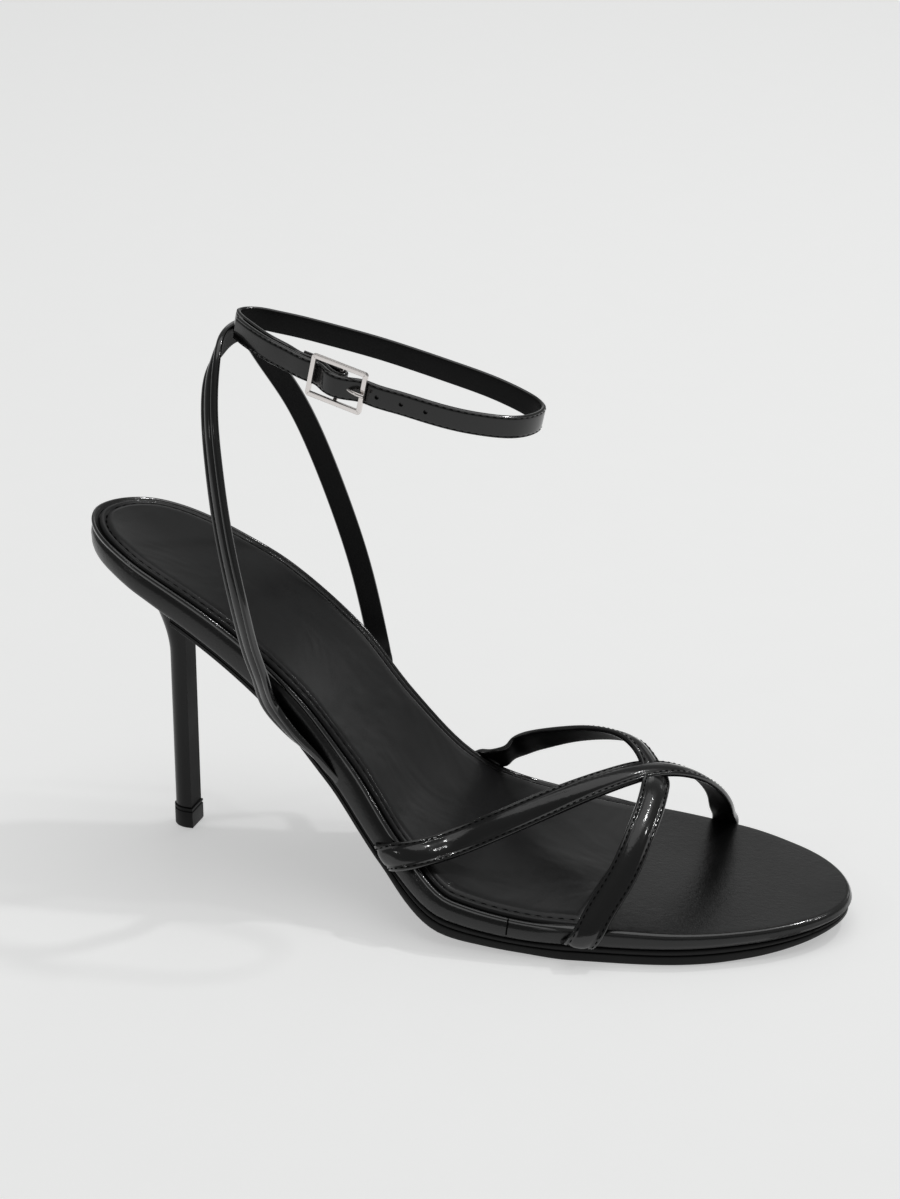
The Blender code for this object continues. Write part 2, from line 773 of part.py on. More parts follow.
def foot_room(board, path, facing):
    """Cuts the room for the side straps' lateral foot out of the board; its end comes first."""
    facing, side = strap_axes(path, facing)
    run = np.concatenate([[0], np.cumsum(np.linalg.norm(np.diff(path, axis=0), axis=1))])
    kept = run < LATERAL_FOOT_RUN
    path = path[kept]
    path[0] -= unit(path[1] - path[0]) * 2 * CLEARANCE
    half = SIDE_STRAP_WIDTH / 2 + 2 * CLEARANCE
    inner = STRAP_THICKNESS / 2 + 1.5 * CLEARANCE
    outer = inner + STRAP_THICKNESS
    loops = [
        path + side[kept] * across * half + facing[kept] * level
        for across, level in ((-1, -inner), (1, -inner), (1, outer), (-1, outer))
    ]
    rings = [[loop[i] for loop in loops] for i in range(len(path))]
    boolean(board, helper(tube("foot_room", rings, "metal")), "DIFFERENCE")


def over_foot(point):
    """Outward direction of the foot's form that the toe straps follow, turned up near the sole."""
    lift = (point[2] - bed_point(np.array(point[0]), 0.0, 0.0)[2]) / TOE_ARCH_HEIGHT
    axis = FOOT_AXIS - TURN_UP * max(0.0, TURN_UP_UNDER - lift)
    return unit(np.array([0.28, point[1] / (0.5 * BALL_WIDTH), lift - axis]))


def strap_path(table, ends):
    """Path and facing directions of a toe strap, from its rear end to its front end."""
    rear_x = float(x_of(TOE_ARCH_START))
    points, directions = anchor(ends[0])
    points = points[::-1]
    directions = directions[::-1]
    for along, across, rise in table:
        x = rear_x + along * TOE_ARCH_REACH
        y = across * BALL_WIDTH
        point = bed_point(np.array(x), y, 0.0)
        point[2] += rise * TOE_ARCH_HEIGHT
        points.append(point)
        directions.append(over_foot(point))
    more, facing = anchor(ends[1])
    points += more
    directions += facing
    return strap_route(points, directions)


def strap_route(points, directions):
    """A smooth route through the points, with the direction that the strap's face looks."""
    points = np.array(points)
    ways = unit(np.array(directions))
    route = spline(points, FINE_COUNT)
    known = np.concatenate([[0], np.cumsum(np.linalg.norm(np.diff(points, axis=0), axis=1))])
    at = np.linspace(0, known[-1], FINE_COUNT)
    facing = np.stack([np.interp(at, known, ways[:, k]) for k in range(3)], 1)
    kept = paced(route)
    return route[kept], unit(facing[kept])


def toe_strap_routes():
    upper = strap_path(UPPER_STRAP_TABLE, UPPER_STRAP_ENDS)
    lower = strap_path(LOWER_STRAP_TABLE, LOWER_STRAP_ENDS)
    return upper, lower


def side_leg(table, side):
    """Points and facing directions of one leg of the side straps, from the sole up."""
    foot = bed_point(np.array(x_of(SIDE_STRAP_FOOT)), 0.0, 0.0)
    foot[2] -= board_thickness(foot[0])
    points = []
    directions = []
    for rise, spread, lean in table:
        across = side * spread
        leaning = -lean * SIDE_STRAP_LEAN
        points.append(foot + (leaning, across * SIDE_STRAP_SPREAD, rise * SIDE_STRAP_RISE))
        backward = SIDE_STRAP_TWIST * spread + SIDE_STRAP_ROLL * max(0.0, rise - SIDE_STRAP_KNEE)
        downward = SIDE_STRAP_TUCK * max(0.0, SIDE_STRAP_HEM - rise)
        directions.append(np.array([-backward, across, -downward]))
    return points, directions


def side_strap_route():
    """Path and facing of the side straps, up the lateral side, behind the ankle and down."""
    points, directions = lateral_foot()
    lateral, lateral_facing = side_leg(LATERAL_TABLE + SIDE_TABLE, -1)
    medial, medial_facing = side_leg(MEDIAL_TABLE + SIDE_TABLE, 1)
    rise, lean = SIDE_STRAP_TOP
    top, _ = side_leg(((rise, 0.0, lean),), 1)
    end, end_facing = anchor(MEDIAL_STRAP_END)
    points += lateral + top + medial[::-1] + end[2:]
    directions += lateral_facing + [np.array([-1.0, 0.0, 0.15])] + medial_facing[::-1] + end_facing[2:]
    return strap_route(points, directions)


def loop_curve(count=240):
    """Middle line of the ankle loop, in its own plane: forward and medial places.

    It runs from the back along the lateral side to the front and back on the medial side.
    """
    share = (1 - np.cos(np.linspace(0, math.pi, count))) / 2
    lateral = -column(LOOP_TABLE, LOOP_COLUMNS, "lateral", share, True) * ANKLE_LOOP_HALF_WIDTH
    medial = column(LOOP_TABLE, LOOP_COLUMNS, "medial", share, True) * ANKLE_LOOP_HALF_WIDTH
    near = np.stack([share * ANKLE_LOOP_LENGTH, lateral], 1)
    far = np.stack([share * ANKLE_LOOP_LENGTH, medial], 1)
    return near, far


def loop_to_space(flat, across=0.0):
    """From the ankle loop's plane, plus a distance across the strap's width, to world places."""
    flat = np.asarray(flat, float)
    across = np.broadcast_to(np.asarray(across, float), flat.shape[:-1])
    forward = np.array([math.cos(ANKLE_LOOP_TILT), 0.0, -math.sin(ANKLE_LOOP_TILT)])
    upward = np.array([math.sin(ANKLE_LOOP_TILT), 0.0, math.cos(ANKLE_LOOP_TILT)])
    start = np.array([ANKLE_LOOP_BACK, 0.0, ANKLE_LOOP_LEVEL])
    sideways = np.array([0.0, 1.0, 0.0])
    return start + flat[..., :1] * forward + flat[..., 1:2] * sideways + across[..., None] * upward


def buckle_frame_axes():
    """Place of the centre of the buckle in the loop's plane, and its forward and outward axes."""
    near, _ = loop_curve()
    reach = BUCKLE_STATION * ANKLE_LOOP_LENGTH
    half = BUCKLE_LENGTH / 2
    at = [np.array([x, np.interp(x, near[:, 0], near[:, 1])]) for x in (reach - half, reach + half)]
    forward = unit(at[1] - at[0])
    outward = np.array([forward[1], -forward[0]])
    return (at[0] + at[1]) / 2, forward, outward


def buckle_levels():
    """Heights over the strap's middle line, in the buckle: its wire, centre bar, fold and strap."""
    strap = ANKLE_STRAP_THICKNESS / 2
    wire = strap + CLEARANCE + BUCKLE_WIRE / 2
    bar = wire - BAR_DROP
    fold = bar + BAR_RADIUS + CLEARANCE + FOLD_THICKNESS / 2
    over = fold + FOLD_THICKNESS / 2 + CLEARANCE + strap
    return wire, bar, fold, over


def in_buckle(rows):
    centre, forward, outward = buckle_frame_axes()
    rows = np.asarray(rows, float)
    return centre + rows[:, :1] * forward + rows[:, 1:2] * outward


def ankle_strap_route():
    """The whole ankle strap in its plane: fold, lateral side, back, medial side, front, tail."""
    wire, bar, fold, over = buckle_levels()
    reach = BUCKLE_LENGTH / 2 - BUCKLE_WIRE / 2
    layer = ANKLE_STRAP_THICKNESS + CLEARANCE + 0.0002
    turn = fold - bar
    below = -layer - FOLD_THICKNESS / 2 - ANKLE_STRAP_THICKNESS / 2 - CLEARANCE
    inner = [(-FOLD_LENGTH, below), (-1.32 * reach, below), (-0.8 * reach, 0.75 * below)]
    inner += [(-0.4 * reach, bar - turn - 0.0003)]
    around = [(turn * math.sin(a), bar - turn * math.cos(a)) for a in np.linspace(0, math.pi, 7)]
    outer = [(-0.4 * reach, fold - 0.0009), (-0.8 * reach, -0.72 * layer), (-1.32 * reach, -layer)]
    outer += [(-FOLD_LENGTH, -layer)]
    fold_part = in_buckle(inner + around + outer)
    near, far = loop_curve()
    tangent = unit(np.gradient(near, axis=0))
    inward = np.stack([-tangent[:, 1], tangent[:, 0]], 1)
    under = near + inward * layer
    buckle_reach = BUCKLE_STATION * ANKLE_LOOP_LENGTH
    tail_end = TAIL_STATION * ANKLE_LOOP_LENGTH
    stop = buckle_reach - FOLD_LENGTH - 0.004
    start = tail_end + 1.5 * layer
    back = [under[i] for i in range(len(near) - 1, 0, -1) if start < near[i, 0] < stop][::12]
    turning = [(layer, 0.0)]
    medial = [far[i] for i in range(len(far)) if far[i, 0] > 3 * layer][::12]
    front_stop = buckle_reach + BUCKLE_LENGTH * 0.95
    front = [near[i] for i in range(len(near) - 6, 0, -1) if near[i, 0] > front_stop][::12]
    through = [(1.3 * reach, 0.0), (reach, 0.0), (0.76 * reach, 0.0005), (0.4 * reach, 0.72 * over)]
    through += [(0.0, over)]
    through += [(-x, n) for x, n in through[-2::-1]]
    through = in_buckle(through)
    tail_start = buckle_reach - BUCKLE_LENGTH * 0.95
    tail = [near[i] for i in range(len(near) - 1, 0, -1) if tail_end < near[i, 0] < tail_start][::12]
    parts = [fold_part, back, turning, medial, front, through, tail]
    return np.concatenate([np.asarray(p).reshape(-1, 2) for p in parts])


def make_ankle_strap():
    knots = ankle_strap_route()
    flat = spline(knots, 2 * FINE_COUNT)
    flat = flat[paced(flat)]
    legs = unit(np.diff(flat, axis=0))
    tangent = unit(np.concatenate([legs[:1], legs[:-1] + legs[1:], legs[-1:]]))
    outward = np.stack([-tangent[:, 1], tangent[:, 0]], 1)
    path = loop_to_space(flat)
    facing = loop_to_space(flat + outward) - path
    run = np.concatenate([[0], np.cumsum(np.linalg.norm(np.diff(flat, axis=0), axis=1))])
    fold_end = 2.6 * FOLD_LENGTH
    thin = np.clip((run - 1.6 * FOLD_LENGTH) / (fold_end - 1.6 * FOLD_LENGTH), 0, 1)
    thickness = FOLD_THICKNESS + (ANKLE_STRAP_THICKNESS - FOLD_THICKNESS) * thin
    return ribbon("ankle_strap", path, facing, ANKLE_STRAP_WIDTH, thickness, "strap_leather", 0.2)


def rod(name, path, radius, colour, sides=8, closed=False):
    """A round bar swept along a path of points."""
    path = np.asarray(path, float)
    if closed:
        tangent = unit(np.roll(path, -1, axis=0) - np.roll(path, 1, axis=0))
    else:
        tangent = unit(np.gradient(path, axis=0))
    normal = np.cross(tangent[0], (0.3, 0.2, 0.93))
    rings = []
    for point, direction in zip(path, tangent):
        normal = unit(normal - direction * np.dot(normal, direction))
        other = np.cross(direction, normal)
        turns = [2 * math.pi * (k + 0.5) / sides for k in range(sides)]
        reach = radius / math.cos(math.pi / sides)
        rings.append([point + reach * (normal * math.cos(a) + other * math.sin(a)) for a in turns])
    if not closed:
        return tube(name, rings, colour, 50)
    points = [point for ring in rings for point in ring]
    faces = []
    total = len(rings)
    for k in range(total):
        for i in range(sides):
            j = (i + 1) % sides
            after = (k + 1) % total
            faces.append((k * sides + i, k * sides + j, after * sides + j, after * sides + i))
    return link(name, points, faces, colour, 50)


def boolean(target, other, operation):
    modifier = target.modifiers.new(operation.lower(), "BOOLEAN")
    modifier.operation = operation
    modifier.object = other
    modifier.solver = "EXACT"


def helper(thing):
    thing.hide_render = True
    thing.display_type = "WIRE"
    return thing


def buckle_place(rows):
    """World places of (forward, outward, across) rows in the buckle."""
    rows = np.asarray(rows, float)
    return loop_to_space(in_buckle(rows[:, :2]), rows[:, 2])


def make_buckle():
    wire, bar, _, _ = buckle_levels()
    long = BUCKLE_LENGTH / 2 - BUCKLE_WIRE / 2
    tall = ANKLE_STRAP_WIDTH / 2 + BUCKLE_CLEARANCE + BUCKLE_WIRE / 2
    corner = 0.7 * BUCKLE_WIRE
    rows = []
    for quarter in range(4):
        sign_x = (1, -1, -1, 1)[quarter]
        sign_y = (1, 1, -1, -1)[quarter]
        for step in range(4):
            angle = math.pi / 2 * (quarter + step / 3)
            x = sign_x * (long - corner) + corner * math.cos(angle)
            y = sign_y * (tall - corner) + corner * math.sin(angle)
            rows.append((x, wire, y))
    frame = rod("buckle_frame", buckle_place(rows), BUCKLE_WIRE / 2, "metal", 8, closed=True)
    inner = ANKLE_STRAP_WIDTH / 2 + CLEARANCE
    half = [(0, wire, tall), (0, wire - 0.3 * BAR_DROP, tall - 0.1 * BUCKLE_WIRE)]
    half += [(0, bar, inner + 0.0004), (0, bar, inner - 0.0006)]
    rows = half + [(x, n, -y) for x, n, y in half[::-1]]
    centre_bar = helper(rod("centre_bar", buckle_place(rows), BAR_RADIUS, "metal"))
    boolean(frame, centre_bar, "UNION")
    return frame


def prong_rows():
    wire, bar, _, over = buckle_levels()
    reach = BUCKLE_LENGTH / 2 - BUCKLE_WIRE / 2
    turn = BAR_RADIUS + CLEARANCE + PRONG_RADIUS
    rest = wire + BUCKLE_WIRE / 2 + CLEARANCE + PRONG_RADIUS
    angles = np.linspace(math.radians(300), math.radians(95), 10)
    hook = [(turn * math.cos(a), bar + turn * math.sin(a), 0.0) for a in angles]
    arm = [(0.30 * reach, bar + turn + 0.0001, 0)]
    arm += [(0.55 * reach, 0.45 * (bar + turn) + 0.55 * rest, 0)]
    arm += [(0.82 * reach, rest - 0.0001, 0), (reach, rest, 0), (reach + 0.0011, rest - 0.0001, 0)]
    return hook + arm


def make_prong(strap):
    path = spline(buckle_place(prong_rows()), 30)
    prong = rod("buckle_prong", path, PRONG_RADIUS, "metal")
    wider = np.array(path)
    wider[0] += unit(path[0] - path[1]) * CLEARANCE
    room = helper(rod("prong_room", wider, PRONG_RADIUS + CLEARANCE, "metal"))
    boolean(strap, room, "DIFFERENCE")
    return prong


clear_scene()
board = make_board()
make_pad()
make_outsole()
make_heel()
make_heel_tip()
(upper_path, upper_facing), (lower_path, lower_facing) = toe_strap_routes()
upper = ribbon("toe_straps", upper_path, upper_facing, TOE_STRAP_WIDTH, STRAP_THICKNESS, "strap_leather")
lower = ribbon("lower_toe_strap", lower_path, lower_facing, TOE_STRAP_WIDTH, STRAP_THICKNESS, "strap_leather")
boolean(upper, helper(lower), "UNION")
side_path, side_facing = side_strap_route()
ribbon("side_straps", side_path, side_facing, SIDE_STRAP_WIDTH, STRAP_THICKNESS, "strap_leather")
for end in UPPER_STRAP_ENDS + LOWER_STRAP_ENDS:
    notch(board, end, TOE_STRAP_WIDTH)
foot_room(board, side_path, side_facing)
notch(board, MEDIAL_STRAP_END, SIDE_STRAP_WIDTH)
ankle_strap = make_ankle_strap()
make_buckle()
make_prong(ankle_strap)
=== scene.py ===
"""Looks of the strappy heeled sandal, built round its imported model, in metres.

The toe points along +X, the medial side is +Y and the floor is Z = 0.
The values and tables of the shape are those of the model's own source; the meshes here are finer.
"""

import math

import bpy
import numpy as np
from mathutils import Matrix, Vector


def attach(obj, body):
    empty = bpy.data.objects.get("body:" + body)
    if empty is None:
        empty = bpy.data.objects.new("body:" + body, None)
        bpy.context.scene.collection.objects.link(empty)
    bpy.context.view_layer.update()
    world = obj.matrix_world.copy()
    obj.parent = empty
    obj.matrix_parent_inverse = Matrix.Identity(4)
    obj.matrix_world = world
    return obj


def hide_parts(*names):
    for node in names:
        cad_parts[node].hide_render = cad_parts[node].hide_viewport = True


# Footbed
FOOTBED_LENGTH = 0.2166
SEAT_HEIGHT = 0.0947
FOREFOOT_HEIGHT = 0.0092
BALL_WIDTH = 0.0785
BOARD_THICKNESS = 0.0075
BOARD_EDGE_RADIUS = 0.0016
CUP_DEPTH = 0.0012
UPRIGHT_BACK = 0.14

# Sock pad on the footbed
PAD_THICKNESS = 0.0013
PAD_MARGIN = 0.0022
PAD_FRONT = 0.156

# Outsole
TREAD_THICKNESS = 0.0048
SOLE_MARGIN = 0.0007
SHANK_MARGIN = 0.0012

# Heel
HEEL_SETBACK = 0.0240
SOLE_SETBACK = 0.0048
HEEL_DEPTH = 0.0060
HEEL_WIDTH = 0.0070
FLARE_HEIGHT = 0.0232
SEAT_MARGIN = 0.0030
TIP_HEIGHT = 0.0066
TIP_RIM = 0.0004

# Straps
TOE_STRAP_WIDTH = 0.0078
SIDE_STRAP_WIDTH = 0.0062
ANKLE_STRAP_WIDTH = 0.0064
STRAP_THICKNESS = 0.0018
ANKLE_STRAP_THICKNESS = 0.0014
TOE_ARCH_HEIGHT = 0.0278
TOE_ARCH_REACH = 0.0752
TUCK_LENGTH = 0.0050
SIDE_STRAP_RISE = 0.1185
SIDE_STRAP_SPREAD = 0.0376
SIDE_STRAP_LEAN = 0.0385
ANKLE_LOOP_BACK = 0.0184
ANKLE_LOOP_LEVEL = 0.1538
ANKLE_LOOP_LENGTH = 0.0884
ANKLE_LOOP_HALF_WIDTH = 0.0170
ANKLE_LOOP_TILT = math.radians(12.0)

# Buckle
BUCKLE_LENGTH = 0.0166
BUCKLE_WIRE = 0.0014
BUCKLE_CLEARANCE = 0.0014
BAR_RADIUS = 0.0006
BAR_DROP = 0.0015
PRONG_RADIUS = 0.00055
FOLD_THICKNESS = 0.0010
FOLD_LENGTH = 0.0130

# Room between pieces that meet
CLEARANCE = 0.0003

# Plan, profile and thickness of the board along the footbed's plan length.
# along: share of FOOTBED_LENGTH. height: share of the rise from forefoot to seat.
# lateral, medial: shares of BALL_WIDTH. thick: share of BOARD_THICKNESS. cup: share of CUP_DEPTH.
BOARD_COLUMNS = ("along", "height", "lateral", "medial", "thick", "cup")
BOARD_TABLE = (
    (0.000, 1.000, 0.000, 0.000, 1.00, 0.2),
    (0.059, 0.957, 0.237, 0.242, 1.00, 0.8),
    (0.112, 0.906, 0.293, 0.287, 1.00, 1.0),
    (0.163, 0.848, 0.312, 0.302, 1.04, 1.0),
    (0.228, 0.755, 0.321, 0.320, 1.08, 0.9),
    (0.317, 0.583, 0.330, 0.318, 1.10, 0.8),
    (0.394, 0.376, 0.357, 0.297, 1.06, 0.7),
    (0.472, 0.174, 0.452, 0.328, 0.98, 0.6),
    (0.552, 0.056, 0.553, 0.427, 0.88, 0.5),
    (0.644, 0.019, 0.538, 0.462, 0.78, 0.4),
    (0.728, 0.009, 0.494, 0.464, 0.70, 0.3),
    (0.822, 0.001, 0.428, 0.446, 0.60, 0.1),
    (0.906, -0.002, 0.311, 0.372, 0.52, 0.0),
    (1.000, 0.002, -0.034, 0.034, 0.42, 0.0),
)

# Outsole: thick is a share of TREAD_THICKNESS, margin goes from 0 at the shank to 1 at the tread.
SOLE_COLUMNS = ("along", "thick", "margin")
SOLE_TABLE = (
    (0.000, 0.46, 0.0),
    (0.440, 0.46, 0.0),
    (0.510, 0.80, 0.5),
    (0.560, 1.00, 1.0),
    (0.600, 0.90, 1.0),
    (0.644, 0.86, 1.0),
    (0.700, 1.00, 1.0),
    (0.860, 1.00, 1.0),
    (0.906, 0.92, 1.0),
    (0.960, 0.70, 1.0),
    (1.000, 0.44, 1.0),
)

# Toe straps. along: from the strap's rear end, share of TOE_ARCH_REACH. across: share of
# BALL_WIDTH, positive to the medial side. rise: over the board, share of TOE_ARCH_HEIGHT.
UPPER_STRAP_TABLE = (
    (0.200, -0.372, 0.250),
    (0.344, -0.283, 0.518),
    (0.488, -0.186, 0.730),
    (0.614, -0.089, 0.867),
    (0.722, 0.006, 0.942),
    (0.811, 0.102, 0.939),
    (0.905, 0.196, 0.830),
    (0.962, 0.290, 0.610),
    (0.986, 0.385, 0.300),
)
LOWER_STRAP_TABLE = (
    (0.187, 0.369, 0.290),
    (0.289, 0.344, 0.580),
    (0.467, 0.306, 0.863),
    (0.613, 0.252, 1.010),
    (0.727, 0.183, 1.030),
    (0.811, 0.102, 0.885),
    (0.844, 0.000, 0.906),
    (0.858, -0.115, 0.830),
    (0.858, -0.229, 0.710),
    (0.831, -0.369, 0.410),
)
TOE_ARCH_START = 0.458

# Height over the board of the axis that the toe straps' faces look away from, share of
# TOE_ARCH_HEIGHT. Under the height TURN_UP_UNDER the axis drops, TURN_UP for each step down.
FOOT_AXIS = 0.15
TURN_UP_UNDER = 0.7
TURN_UP = 1.4

# An end of a strap on the board: the share of FOOTBED_LENGTH, the side, -1 lateral or 1 medial,
# and the slant, which is how far the strap runs forward for each step down.
UPPER_STRAP_ENDS = ((0.485, -1, -0.72), (0.799, 1, 0.0))
LOWER_STRAP_ENDS = ((0.494, 1, -0.40), (0.722, -1, -0.60))

# The legs of the side straps, from the waist of the sole to the back of the ankle.
# rise, spread and lean are shares of SIDE_STRAP_RISE, SIDE_STRAP_SPREAD and SIDE_STRAP_LEAN.
LATERAL_TABLE = (
    (0.216, 0.896, 0.433),
    (0.278, 0.944, 0.470),
)
MEDIAL_TABLE = (
    (0.057, 0.800, 0.170),
    (0.205, 0.985, 0.353),
)
SIDE_TABLE = (
    (0.373, 1.000, 0.514),
    (0.543, 0.910, 0.665),
    (0.698, 0.740, 0.803),
    (0.819, 0.510, 0.917),
    (0.868, 0.390, 0.945),
    (0.905, 0.240, 0.956),
)
SIDE_STRAP_TOP = (0.919, 0.966)
SIDE_STRAP_FOOT = 0.365

# How the face of a side strap turns: back all along it, more over the knee's share of the rise,
# and down under the hem's share.
SIDE_STRAP_TWIST = 0.45
SIDE_STRAP_KNEE = 0.855
SIDE_STRAP_ROLL = 4.6
SIDE_STRAP_HEM = 0.12
SIDE_STRAP_TUCK = 8.0
MEDIAL_STRAP_END = (0.345, 1, 0.9)

# Lateral foot of the side straps, from its end: along the board's lower edge and in under it.
# along: share of FOOTBED_LENGTH. out: beyond the edge, share of BOARD_THICKNESS. depth: share of
# the board's own thickness. turn: how far the strap's face has turned down, in degrees.
LATERAL_FOOT_TABLE = (
    (0.396, -0.38, 0.83, 88),
    (0.382, -0.12, 0.80, 72),
    (0.366, 0.12, 0.80, 55),
    (0.350, 0.28, 0.86, 45),
    (0.332, 0.33, 0.88, 35),
    (0.315, 0.36, 0.82, 25),
)

# Half widths of the ankle loop. along: share of ANKLE_LOOP_LENGTH, half widths: shares of
# ANKLE_LOOP_HALF_WIDTH, on the lateral and the medial side.
LOOP_COLUMNS = ("along", "lateral", "medial")
LOOP_TABLE = (
    (0.000, 0.00, 0.00),
    (0.020, 0.19, 0.17),
    (0.070, 0.42, 0.31),
    (0.250, 0.86, 0.55),
    (0.500, 1.10, 0.68),
    (0.750, 1.04, 0.64),
    (0.930, 0.70, 0.42),
    (1.000, 0.00, 0.00),
)
BUCKLE_STATION = 0.436
TAIL_STATION = 0.022

# Points along a strap's route, the step to either side that finds the direction of the board's
# edge, steps along each side of the board's outline and of the heel's seat, and points round the
# heel
FINE_COUNT = 600
EDGE_STEP = 0.008
OUTLINE_COUNT = 150
SEAT_COUNT = 60
HEEL_COUNT = 120

# Parts into which the footbed's cover, the sock and the sole are filled across
BOARD_PARTS = 21
PAD_PARTS = 25
SOLE_PARTS = 4

# The pale floor: half its side in metres, its two near shades, and how much it glows: painted light,
# unshadowed, that makes the shadows on it light
FLOOR_REACH = 6.0
FLOOR_SHADES = ((0.80, 0.805, 0.80), (0.82, 0.825, 0.82))
FLOOR_GLOW = 0.42

# The studio's dim surroundings, the place that its lights aim at, and the lights: name, place,
# diameter and power
WORLD_COLOUR = (0.80, 0.81, 0.80, 1)
WORLD_STRENGTH = 0.25
LIGHT_AIM = (0.09, 0.0, 0.06)
LIGHTS = (
    ("key", (0.70, 0.72, 1.71), 0.10, 4.0),
    ("rim_light", (1.35, 0.48, 1.41), 0.12, 1.6),
    ("overhead", (0.1, 0.2, 2.0), 1.8, 7.0),
    ("backdrop", (-0.5, 1.8, 0.75), 1.0, 0.8),
    ("waist_sheen", (0.75, 1.8, 0.66), 0.4, 0.25),
    ("side_fill", (-0.9, -1.0, 0.9), 0.12, 0.4),
)

# Camera: it stands where the photograph's stood and aims at the middle of the shoe
CAMERA_PLACE = (0.3326, -0.7138, 0.4060)
CAMERA_AIM = (0.0800, 0.0, 0.0810)
CAMERA_LENS = 92.0
SENSOR_SIZE = 36.0

# The board's dressed edge, from its underside up the side, over a groove and a narrow rolled rim
# to the border. inset: from the outline, in metres. under: 1 where the depth is measured from the
# board's underside, 0 from the footbed, and between them a share of the way. depth: in metres.
BOARD_RIM = (
    (0.0016, 1.00, 0.0),
    (0.0008, 1.00, -0.0001),
    (0.0003, 1.00, -0.0005),
    (0.0000, 1.00, -0.0013),
    (-0.00015, 0.50, 0.0004),
    (0.0000, 0.0, 0.0032),
    (0.0001, 0.0, 0.0026),
    (0.0005, 0.0, 0.0021),
    (0.0006, 0.0, 0.0017),
    (0.0003, 0.0, 0.0014),
    (0.00008, 0.0, 0.0011),
    (0.0000, 0.0, 0.0007),
    (0.00012, 0.0, 0.0003),
    (0.00045, 0.0, 0.00005),
    (0.0008, 0.0, 0.0001),
    (0.0011, 0.0, 0.0003),
    (0.0014, 0.0, 0.0006),
    (0.0018, 0.0, 0.0007),
)

# The rows of BOARD_RIM between which the rim has its own gloss
RIM_ROWS = (9, 15)

# The depths that BOARD_RIM gives from the footbed shrink with the board's thickness, down to this
# share.
LEAST_FADE = 0.55

# In front of the pad the footbed's cover rolls over its edge with no rim: the radius, the row that
# the roll starts from, and the shares of FOOTBED_LENGTH between which the rim fades into it
ROLL_RADIUS = 0.0026
ROLL_FROM_ROW = 5
RIM_END = (0.640, 0.700)

# Edge of the sock pad: inset from its own edge and height over the footbed, in metres.
PAD_RIM = (
    (0.0000, 0.0000),
    (0.0001, 0.0004),
    (0.0003, 0.0007),
    (0.0007, 0.00095),
    (0.0012, 0.0010),
    (0.0016, 0.0008),
    (0.0019, 0.00055),
    (0.0022, 0.0008),
    (0.0027, 0.0012),
    (0.0035, 0.0014),
)

# How far PAD_RIM is sunk into the footbed, and the inset and height of the pad's stitches
PAD_SINK = 0.0004
PAD_STITCH_INSET = 0.0019
PAD_STITCH_HEIGHT = 0.00025

# Edge of the outsole: inset from its own edge and share of its thickness, from the tread up.
SOLE_RIM = (
    (0.0014, 1.00),
    (0.0006, 1.00),
    (0.0002, 0.95),
    (0.0000, 0.86),
    (0.0000, 0.45),
    (0.0001, 0.41),
    (0.0005, 0.38),
    (0.0005, 0.34),
    (0.0001, 0.31),
    (0.0000, 0.27),
    (0.0001, 0.08),
    (0.0004, 0.02),
    (0.0012, 0.00),
)

# Half sections of the straps, from the middle of the outer face round to the back.
# across: share of the half width. level: share of the half thickness.
TOE_SECTION = (
    (0.00, 1.26),
    (0.18, 1.23),
    (0.34, 1.12),
    (0.48, 0.94),
    (0.56, 0.74),
    (0.62, 0.62),
    (0.68, 0.74),
    (0.80, 0.78),
    (0.92, 0.72),
    (0.98, 0.42),
    (1.00, 0.00),
    (0.99, -0.55),
    (0.95, -0.90),
    (0.86, -1.00),
    (0.40, -1.00),
)
SIDE_SECTION = (
    (0.00, 1.24),
    (0.18, 1.20),
    (0.34, 1.04),
    (0.42, 0.80),
    (0.46, 0.58),
    (0.50, 0.80),
    (0.58, 0.97),
    (0.72, 0.98),
    (0.84, 0.90),
    (0.93, 0.68),
    (0.99, 0.25),
    (1.00, -0.30),
    (0.98, -0.75),
    (0.92, -1.00),
    (0.50, -1.00),
)
ANKLE_SECTION = (
    (0.00, 1.00),
    (0.30, 1.00),
    (0.62, 0.98),
    (0.76, 0.94),
    (0.81, 0.80),
    (0.85, 0.90),
    (0.92, 0.86),
    (0.98, 0.42),
    (1.00, 0.00),
    (0.98, -0.45),
    (0.92, -0.80),
    (0.80, -0.97),
    (0.40, -1.00),
)

# Share of the half width from which a strap's surface is its painted edge
EDGE_FROM = 0.90

# Routes averaged over this many neighbours to either side, so that the straps bend softly
TOE_PATH_EASING = 9
TOE_FACE_EASING = 42
SIDE_FACE_EASING = 20

# Where the ankle strap begins to thicken, in fold lengths from its folded end; it takes one more
# fold length to reach its full thickness.
FOLD_END = 1.6

# The heel's flare, from the seat down: how many levels, how they crowd at the seat, and how fast
# the seat's depth and width give way to the column's. COLUMN_LEVELS: shares of the straight
# column's height where it has a ring.
FLARE_LEVELS = 30
FLARE_CROWDING = 1.3
FLARE_DEPTH_POWER = 1.8
FLARE_WIDTH_POWER = 4
COLUMN_LEVELS = (0.66, 0.33, 0.0)

# How near the heel's front face a point is to belong to it, in metres; that face gets the darker copy
# of the heel's leather, painted shade
BREAST_RIM = 0.00002

# Heel tip, from the floor up: height and inset, in metres
TIP_TABLE = (
    (0.0, 0.0006),
    (0.0002, 0.0002),
    (0.0006, 0.0),
    (0.0052, 0.0),
    (0.0054, 0.0002),
    (0.0056, 0.0002),
    (0.0058, 0.0),
    (0.0064, 0.0),
    (0.0066, 0.0003),
)

# A stitch from end to end: share of its length, share of its radius, and lift in radii
STITCH_FORM = (
    (-0.50, 0.35, -1.30),
    (-0.36, 0.90, -0.35),
    (0.00, 1.00, 0.15),
    (0.36, 0.90, -0.35),
    (0.50, 0.35, -1.30),
)
STITCH_SIDES = 8

